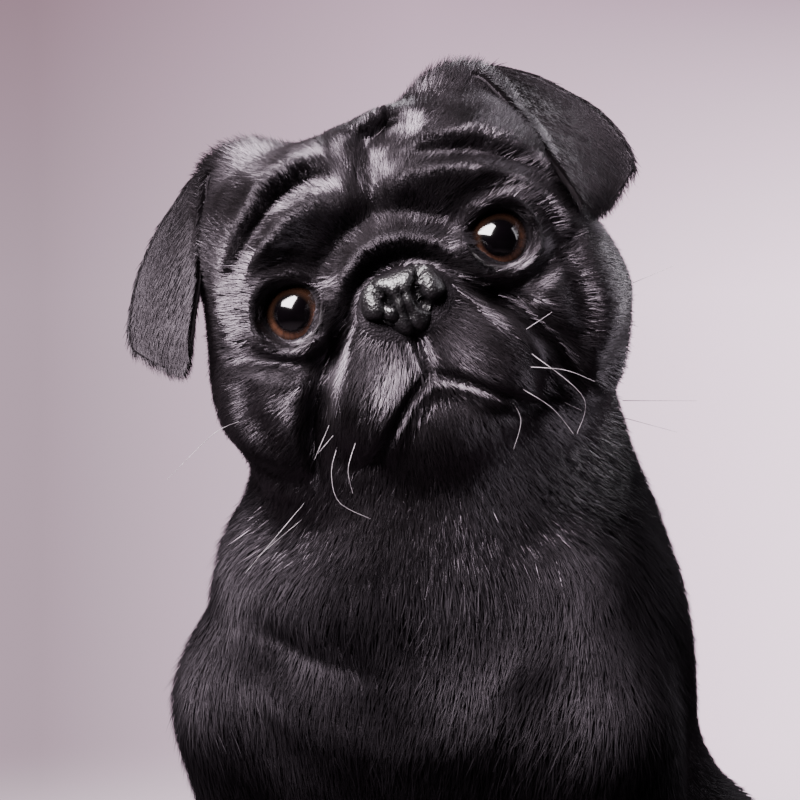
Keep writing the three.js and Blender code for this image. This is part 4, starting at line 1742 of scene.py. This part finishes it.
@dataclass(frozen=True)
class Finish:
    """What a piece is made of."""

    name: str
    roughness: float

    def material(self) -> bpy.types.Material:
        """Makes the material, or finds it where another piece has it.

        Returns:
            The material.
        """
        found = bpy.data.materials.get(self.name)
        if found:
            return found
        made = empty_material(self.name)
        tree = made.node_tree
        places = add_node(tree, "ShaderNodeTexCoord").outputs["Object"]
        inputs = {"Roughness": self.roughness, **self.inputs(tree, places)}
        shader = add_node(tree, "ShaderNodeBsdfPrincipled", inputs)
        add_node(tree, "ShaderNodeOutputMaterial", {"Surface": shader.outputs["BSDF"]})
        return made

    def inputs(self, tree: bpy.types.NodeTree, places: bpy.types.NodeSocket) -> dict[str | int, object]:
        """What feeds the shader.

        Args:
            tree: the material's tree.
            places: Object coordinates in metres.

        Returns:
            For each of the shader's sockets, the socket that feeds it or its value.
        """
        raise NotImplementedError


@dataclass(frozen=True)
class Hair(Finish):
    """Dog's hair, straight and glossy: near black, with a faint mauve sheen where it turns to the light."""

    dark: str = "#060505"
    light: str = "#120f11"
    sheen: str = "#f0e0f0"
    patch: float = 14
    grain: float = 0.5
    depth: float = 0
    gloss: float = 0.5

    def inputs(self, tree: bpy.types.NodeTree, places: bpy.types.NodeSocket) -> dict[str | int, object]:
        """See Finish.inputs."""
        sizes = (self.patch, self.grain)
        clouds = ({"Vector": places, "Scale": per_metre(size), "Detail": 2} for size in sizes)
        patches, grains = (add_node(tree, "ShaderNodeTexNoise", inputs).outputs[0] for inputs in clouds)
        mixed = add_node(tree, "ShaderNodeMath", {0: patches, 1: grains}, operation="MULTIPLY").outputs[0]
        spread = {"Value": mixed, "From Min": 0.12, "From Max": 0.42}
        tone = add_node(tree, "ShaderNodeMapRange", spread).outputs[0]
        stops = ((0, self.dark), (1, self.light))
        rough = {"Value": patches, "From Min": 0.3, "From Max": 0.7}
        rough |= {"To Min": self.roughness - 0.06, "To Max": self.roughness + 0.08}
        fed = {
            "Base Color": add_node(tree, "ShaderNodeValToRGB", {"Fac": tone}, stops).outputs["Color"],
            "Roughness": add_node(tree, "ShaderNodeMapRange", rough).outputs[0],
            "Specular Tint": linear(self.sheen),
            "Specular IOR Level": self.gloss,
        }
        if self.depth:
            relief = {"Height": grains, "Strength": 1, "Distance": self.depth * MM}
            fed["Normal"] = add_node(tree, "ShaderNodeBump", relief).outputs["Normal"]
        return fed


@dataclass(frozen=True)
class BareSkin(Finish):
    """Moist bare skin: close pebbles with a wet gloss."""

    colour: str = "#0d0b0d"
    pale: str = "#1a171a"
    pebble: float = 0.85
    depth: float = 0.22
    wet: float = 0.15

    def inputs(self, tree: bpy.types.NodeTree, places: bpy.types.NodeSocket) -> dict[str | int, object]:
        """See Finish.inputs."""
        cells = {"Vector": places, "Scale": per_metre(self.pebble)}
        pebbles = add_node(tree, "ShaderNodeTexVoronoi", cells, feature="F1").outputs["Distance"]
        clouds = {"Vector": places, "Scale": per_metre(self.pebble * 0.4), "Detail": 2}
        fine = add_node(tree, "ShaderNodeTexNoise", clouds).outputs[0]
        added = {0: fine, 1: 0.4, 2: pebbles}
        height = add_node(tree, "ShaderNodeMath", added, operation="MULTIPLY_ADD").outputs[0]
        stops = ((0.1, self.pale), (0.8, self.colour))
        rough = {"Value": fine, "To Min": self.roughness - 0.08, "To Max": self.roughness + 0.12}
        raised = add_node(tree, "ShaderNodeMath", {0: 1.0, 1: height}, operation="SUBTRACT").outputs[0]
        relief = {"Height": raised, "Strength": 1, "Distance": self.depth * MM}
        return {
            "Base Color": add_node(tree, "ShaderNodeValToRGB", {"Fac": height}, stops).outputs["Color"],
            "Roughness": add_node(tree, "ShaderNodeMapRange", rough).outputs[0],
            "Coat Weight": self.wet,
            "Coat Roughness": 0.12,
            "Normal": add_node(tree, "ShaderNodeBump", relief).outputs["Normal"],
        }


@dataclass(frozen=True)
class Eyeball(Finish):
    """A wet eye: black pupil, brown iris painted lighter low down (painted light, where light through the
    cornea would fall) and darker above (painted shade), dark edge, brown white.
    """

    pupil: float = 5.7
    iris: float = 9.2

    def inputs(self, tree: bpy.types.NodeTree, places: bpy.types.NodeSocket) -> dict[str | int, object]:
        """See Finish.inputs."""
        gaze = add_node(tree, "ShaderNodeAttribute", attribute_name="gaze").outputs["Vector"]
        only_flat = {0: gaze, 1: (1, 0, 1)}
        flat = add_node(tree, "ShaderNodeVectorMath", only_flat, operation="MULTIPLY").outputs[0]
        away = add_node(tree, "ShaderNodeVectorMath", {0: flat}, operation="LENGTH").outputs["Value"]
        part = add_node(tree, "ShaderNodeMath", {0: away, 1: EYE.radius}, operation="DIVIDE").outputs[0]
        # Each ring has its radius, its colour in painted shade above and its colour with painted light low
        # down, where light through the cornea would fall
        rings = (
            (0, "#030203", "#030203"),
            (self.pupil - 0.25, "#030203", "#030203"),
            (self.pupil + 0.25, "#0e0806", "#2a1813"),
            (self.pupil + 1.5, "#20130d", "#6b4636"),
            (self.iris - 0.7, "#1a0f0a", "#553729"),
            (self.iris + 0.1, "#070404", "#0a0605"),
            (self.iris + 1.3, "#120c0b", "#120c0b"),
        )
        both = ([(ring[0] / EYE.radius, ring[k]) for ring in rings] for k in (1, 2))
        dark, bright = (add_node(tree, "ShaderNodeValToRGB", {"Fac": part}, row).outputs[0] for row in both)
        direction = add_node(tree, "ShaderNodeVectorMath", {0: flat}, operation="NORMALIZE").outputs[0]
        spokes = {0: direction, 1: (9, 9, 9)}
        stretched = add_node(tree, "ShaderNodeVectorMath", spokes, operation="MULTIPLY").outputs[0]
        clouds = {"Vector": stretched, "Scale": 1, "Detail": 3}
        streaks = add_node(tree, "ShaderNodeTexNoise", clouds).outputs[0]
        # Painted light: the lower iris is mixed towards the bright ramp, streaked by the fibres; the upper
        # iris stays in painted shade
        low = add_node(tree, "ShaderNodeSeparateXYZ", {0: direction}).outputs["Z"]
        glow = {"Value": low, "From Min": 0.15, "From Max": -0.85, "To Min": 0.0, "To Max": 1.0}
        painted_lower_light = add_node(tree, "ShaderNodeMapRange", glow).outputs[0]
        grain = {"Value": streaks, "From Min": 0.3, "From Max": 0.65, "To Min": 0.45}
        grained = add_node(tree, "ShaderNodeMapRange", grain).outputs[0]
        painted_light_share = add_node(tree, "ShaderNodeMath", {0: painted_lower_light, 1: grained}, operation="MULTIPLY").outputs[0]
        mixed = {0: painted_light_share, 6: dark, 7: bright}
        return {
            "Base Color": add_node(tree, "ShaderNodeMix", mixed, data_type="RGBA").outputs[2],
            "Coat Weight": 1,
            "Coat Roughness": 0.02,
            "IOR": 1.38,
        }


@dataclass(frozen=True)
class Horn(Finish):
    """Claw horn: smooth and dark, with faint growth lines along the claw."""

    colour: str = "#171315"
    pale: str = "#342d2c"
    line: float = 0.8
    depth: float = 0.08

    def inputs(self, tree: bpy.types.NodeTree, places: bpy.types.NodeSocket) -> dict[str | int, object]:
        """See Finish.inputs."""
        squeezed = add_node(tree, "ShaderNodeMapping", {"Vector": places, "Scale": (1, 0.2, 1)}).outputs[0]
        clouds = {"Vector": squeezed, "Scale": per_metre(self.line), "Detail": 3}
        lines = add_node(tree, "ShaderNodeTexNoise", clouds).outputs[0]
        stops = ((0.35, self.colour), (0.8, self.pale))
        relief = {"Height": lines, "Strength": 1, "Distance": self.depth * MM}
        return {
            "Base Color": add_node(tree, "ShaderNodeValToRGB", {"Fac": lines}, stops).outputs["Color"],
            "Normal": add_node(tree, "ShaderNodeBump", relief).outputs["Normal"],
        }


@dataclass(frozen=True)
class Bristle(Finish):
    """A stiff single hair: grey, and paler in stretches along it."""

    dark: str = "#4b454a"
    colour: str = "#8d858b"
    stretch: float = 6

    def inputs(self, tree: bpy.types.NodeTree, places: bpy.types.NodeSocket) -> dict[str | int, object]:
        """See Finish.inputs."""
        clouds = {"Vector": places, "Scale": per_metre(self.stretch), "Detail": 2}
        lengths = add_node(tree, "ShaderNodeTexNoise", clouds).outputs[0]
        stops = ((0.3, self.dark), (0.6, self.colour))
        return {"Base Color": add_node(tree, "ShaderNodeValToRGB", {"Fac": lengths}, stops).outputs["Color"]}


HEAD_FINISH = Hair("glossy_face_hair", 0.35, gloss=0.6)
EAR_FINISH = Hair("velvet_ear_hair", 0.42, gloss=0.16)
# Body hair is a darker, less glossy copy of the head hair: painted shade for the shadow the head casts over
# the chest and body
SHADED_BODY_FINISH = Hair("coarser_body_hair", 0.5, dark="#050405", light="#0d0b0d", gloss=0.13)
SKIN_FINISH = Hair(
    "short_haired_skin", 0.5, dark="#050405", light="#0c0a0b", grain=0.7, depth=0.35, gloss=0.2
)
COAT_FINISHES = {"head": HEAD_FINISH, "body": SHADED_BODY_FINISH, "ears": EAR_FINISH}
NOSE_FINISH = BareSkin("pebbled_nose_leather", 0.34)
RIM_FINISH = BareSkin("wet_lid_skin", 0.2, pebble=0.5, depth=0.03, wet=0.8)
CORNER_FINISH = BareSkin(
    "pink_eye_corner", 0.25, colour="#4a2a2c", pale="#8d5f60", pebble=0.5, depth=0.04, wet=0.8
)
EYE_FINISH = Eyeball("wet_eye", 0.12)
CLAW_FINISH = Horn("claw_horn", 0.32)
WHISKER_FINISH = Bristle("whisker_bristle", 0.35)


# Studio

@dataclass(frozen=True)
class Studio:
    """A pale floor and backdrop, a square key softbox, two softboxes behind and beside, and the camera."""

    azimuth: float = 20
    elevation: float = 5
    distance: float = 1.0
    aim: tuple[float, float] = (0.0008, -0.0392)
    lens: float = 140.6
    reach: float = 6.0
    floor_reach: float = 0.85
    key_watts: float = 90
    key_way: Point = (0.55, -0.5, 0.64)
    key_distance: float = 0.9
    key_size: float = 0.7
    fills: tuple[tuple[str, Point, float], ...] = (
        ("back", (0.3, 0.9, 0.7), 34),
        ("side", (0.95, 0.45, 0.4), 14),
    )
    fill_distance: float = 1.5
    fill_size: float = 1.0
    # Painted light and shade of the backdrop: the low ramp grows paler to the camera's right, the high ramp
    # is darker and takes over towards the top
    low_painted_light_ramp: tuple[str, str, str] = ("#7a6973", "#ae97a7", "#e4c8db")
    high_painted_shade_ramp: tuple[str, str, str] = ("#645059", "#8b7382", "#7d6775")
    shade_half: float = 0.85
    shade_height: float = 0.75
    seen_strength: float = 3.0

    def axes(self) -> tuple[Array, Array, Array]:
        """The camera's own directions.

        Returns:
            Back, right and up.
        """
        a, e = math.radians(self.azimuth), math.radians(self.elevation)
        back = np.array((math.sin(a) * math.cos(e), -math.cos(a) * math.cos(e), math.sin(e)))
        right = np.array((math.cos(a), math.sin(a), 0))
        return back, right, np.cross(back, right)

    def build(self) -> None:
        """Sets up the floor, the backdrop, the lights and the camera."""
        back, right, up = self.axes()
        head = (np.array(HEAD.at) + ROW_SHIFT) * MM
        target = head + right * self.aim[0] + up * self.aim[1]
        camera = bpy.data.cameras.new("camera")
        camera.lens, camera.sensor_width = self.lens, 36
        camera.clip_start, camera.clip_end = 0.01, 50
        self.placed("camera", camera, target + back * self.distance, back)
        bpy.context.scene.camera = bpy.data.objects["camera"]
        way = unit(back * self.key_way[0] + right * self.key_way[1] + up * self.key_way[2])
        self.softbox("key", head + way * self.key_distance, way, self.key_watts, self.key_size, "#fff8fb")
        for name, way, watts in self.fills:
            way = unit(np.array(way))
            self.softbox(name, head + way * self.fill_distance, way, watts, self.fill_size, "#f4eff6")
        self.floor()
        self.backdrop(back, right)

    @staticmethod
    def placed(name: str, data: bpy.types.ID, at: Array, back: Array) -> None:
        """Puts a light or the camera in the scene, looking against back.

        Args:
            name: the object's name.
            data: the light or camera.
            at: its place in metres.
            back: the direction behind it.
        """
        obj = bpy.data.objects.new(name, data)
        obj.location = at
        obj.rotation_mode = "QUATERNION"
        obj.rotation_quaternion = Vector(-np.asarray(back)).to_track_quat("-Z", "Y")
        bpy.context.scene.collection.objects.link(obj)

    def softbox(self, name: str, at: Array, back: Array, watts: float, size: float, colour: str) -> None:
        """Adds a square area light.

        Args:
            name: its name.
            at: its place in metres.
            back: the direction behind it.
            watts: its power.
            size: its side in metres.
            colour: its colour.
        """
        light = bpy.data.lights.new(name, "AREA")
        light.shape, light.size, light.energy = "SQUARE", size, watts
        light.color = linear(colour)[:3]
        self.placed(name, light, at, back)

    def floor(self) -> None:
        """Lays a round floor that fades out into the backdrop."""
        bm = bmesh.new()
        bmesh.ops.create_circle(bm, cap_ends=True, segments=96, radius=self.floor_reach)
        floor = object_from("floor", bm, smooth=False)
        made = empty_material("pale_floor")
        tree = made.node_tree
        seen = add_node(tree, "ShaderNodeLightPath").outputs["Is Camera Ray"]
        stops = ((0, "#3c363a"), (1, "#cfc3cb"))
        colour = add_node(tree, "ShaderNodeValToRGB", {"Fac": seen}, stops).outputs["Color"]
        shader = add_node(tree, "ShaderNodeBsdfDiffuse", {"Color": colour})
        clear = add_node(tree, "ShaderNodeBsdfTransparent")
        places = add_node(tree, "ShaderNodeTexCoord").outputs["Object"]
        away = add_node(tree, "ShaderNodeVectorMath", {0: places}, operation="LENGTH").outputs["Value"]
        fade = {"Value": away, "From Min": self.floor_reach * 0.3, "From Max": self.floor_reach * 0.98}
        gone = add_node(tree, "ShaderNodeMapRange", fade, interpolation_type="SMOOTHSTEP").outputs[0]
        mix = add_node(tree, "ShaderNodeMixShader", {0: gone, 1: shader.outputs[0], 2: clear.outputs[0]})
        add_node(tree, "ShaderNodeOutputMaterial", {"Surface": mix.outputs[0]})
        floor.data.materials.append(made)

    def backdrop(self, back: Array, right: Array) -> None:
        """Closes the room with a dome whose colour carries painted light and shade: paler to the camera's
        right and darker towards the top, glowing brightly to the camera; it lights the dog only a little.

        Args:
            back: the direction from the dog to the camera.
            right: the camera's right.
        """
        bm = bmesh.new()
        bmesh.ops.create_uvsphere(bm, u_segments=96, v_segments=48, radius=self.reach)
        bmesh.ops.reverse_faces(bm, faces=bm.faces[:])
        dome = object_from("backdrop", bm)
        made = empty_material("mauve_backdrop")
        tree = made.node_tree
        places = add_node(tree, "ShaderNodeTexCoord").outputs["Object"]
        ways = ({0: places, 1: tuple(way)} for way in (right, -back))
        along = (add_node(tree, "ShaderNodeVectorMath", inputs, operation="DOT_PRODUCT") for inputs in ways)
        across, behind = (node.outputs["Value"] for node in along)
        # Painted light and shade: paler to the camera's right, darker towards the top, and a strong glow seen
        # only by the camera
        sideways = {"Value": across, "From Min": -self.shade_half, "From Max": self.shade_half}
        side = add_node(tree, "ShaderNodeMapRange", sideways).outputs[0]
        height = add_node(tree, "ShaderNodeSeparateXYZ", {0: places}).outputs["Z"]
        upwards = {"Value": height, "From Min": 0.0, "From Max": self.shade_height}
        top = add_node(tree, "ShaderNodeMapRange", upwards).outputs[0]
        rows = (tuple(zip((0, 0.5, 1), colours)) for colours in (self.low_painted_light_ramp, self.high_painted_shade_ramp))
        low, high = (add_node(tree, "ShaderNodeValToRGB", {"Fac": side}, row).outputs[0] for row in rows)
        colour = add_node(tree, "ShaderNodeMix", {0: top, 6: low, 7: high}, data_type="RGBA").outputs[2]
        seen = add_node(tree, "ShaderNodeLightPath").outputs["Is Camera Ray"]
        faint = {"Value": behind, "From Min": -2, "From Max": 5, "To Min": 0.03, "To Max": 0.22}
        glow = add_node(tree, "ShaderNodeMapRange", faint).outputs[0]
        power = {0: seen, 1: self.seen_strength}
        bright = add_node(tree, "ShaderNodeMath", power, operation="MULTIPLY").outputs[0]
        strength = add_node(tree, "ShaderNodeMath", {0: bright, 1: glow}, operation="MAXIMUM").outputs[0]
        shader = add_node(tree, "ShaderNodeEmission", {"Color": colour, "Strength": strength})
        add_node(tree, "ShaderNodeOutputMaterial", {"Surface": shader.outputs[0]})
        dome.data.materials.append(made)


def main() -> None:
    """Builds the dog from the skin out, then the studio."""
    skin = Skin().build()
    for piece in Coat().build(skin):
        kind = next(kind for kind in COAT_FINISHES if kind in piece.name)
        finished(piece, COAT_FINISHES[kind])
    finished(skin, SKIN_FINISH, FLESH)
    Eyes().build()
    NosePad().build()
    Claws().build()
    Whiskers().build()
    Studio().build()


if __name__ == "__main__":
    main()
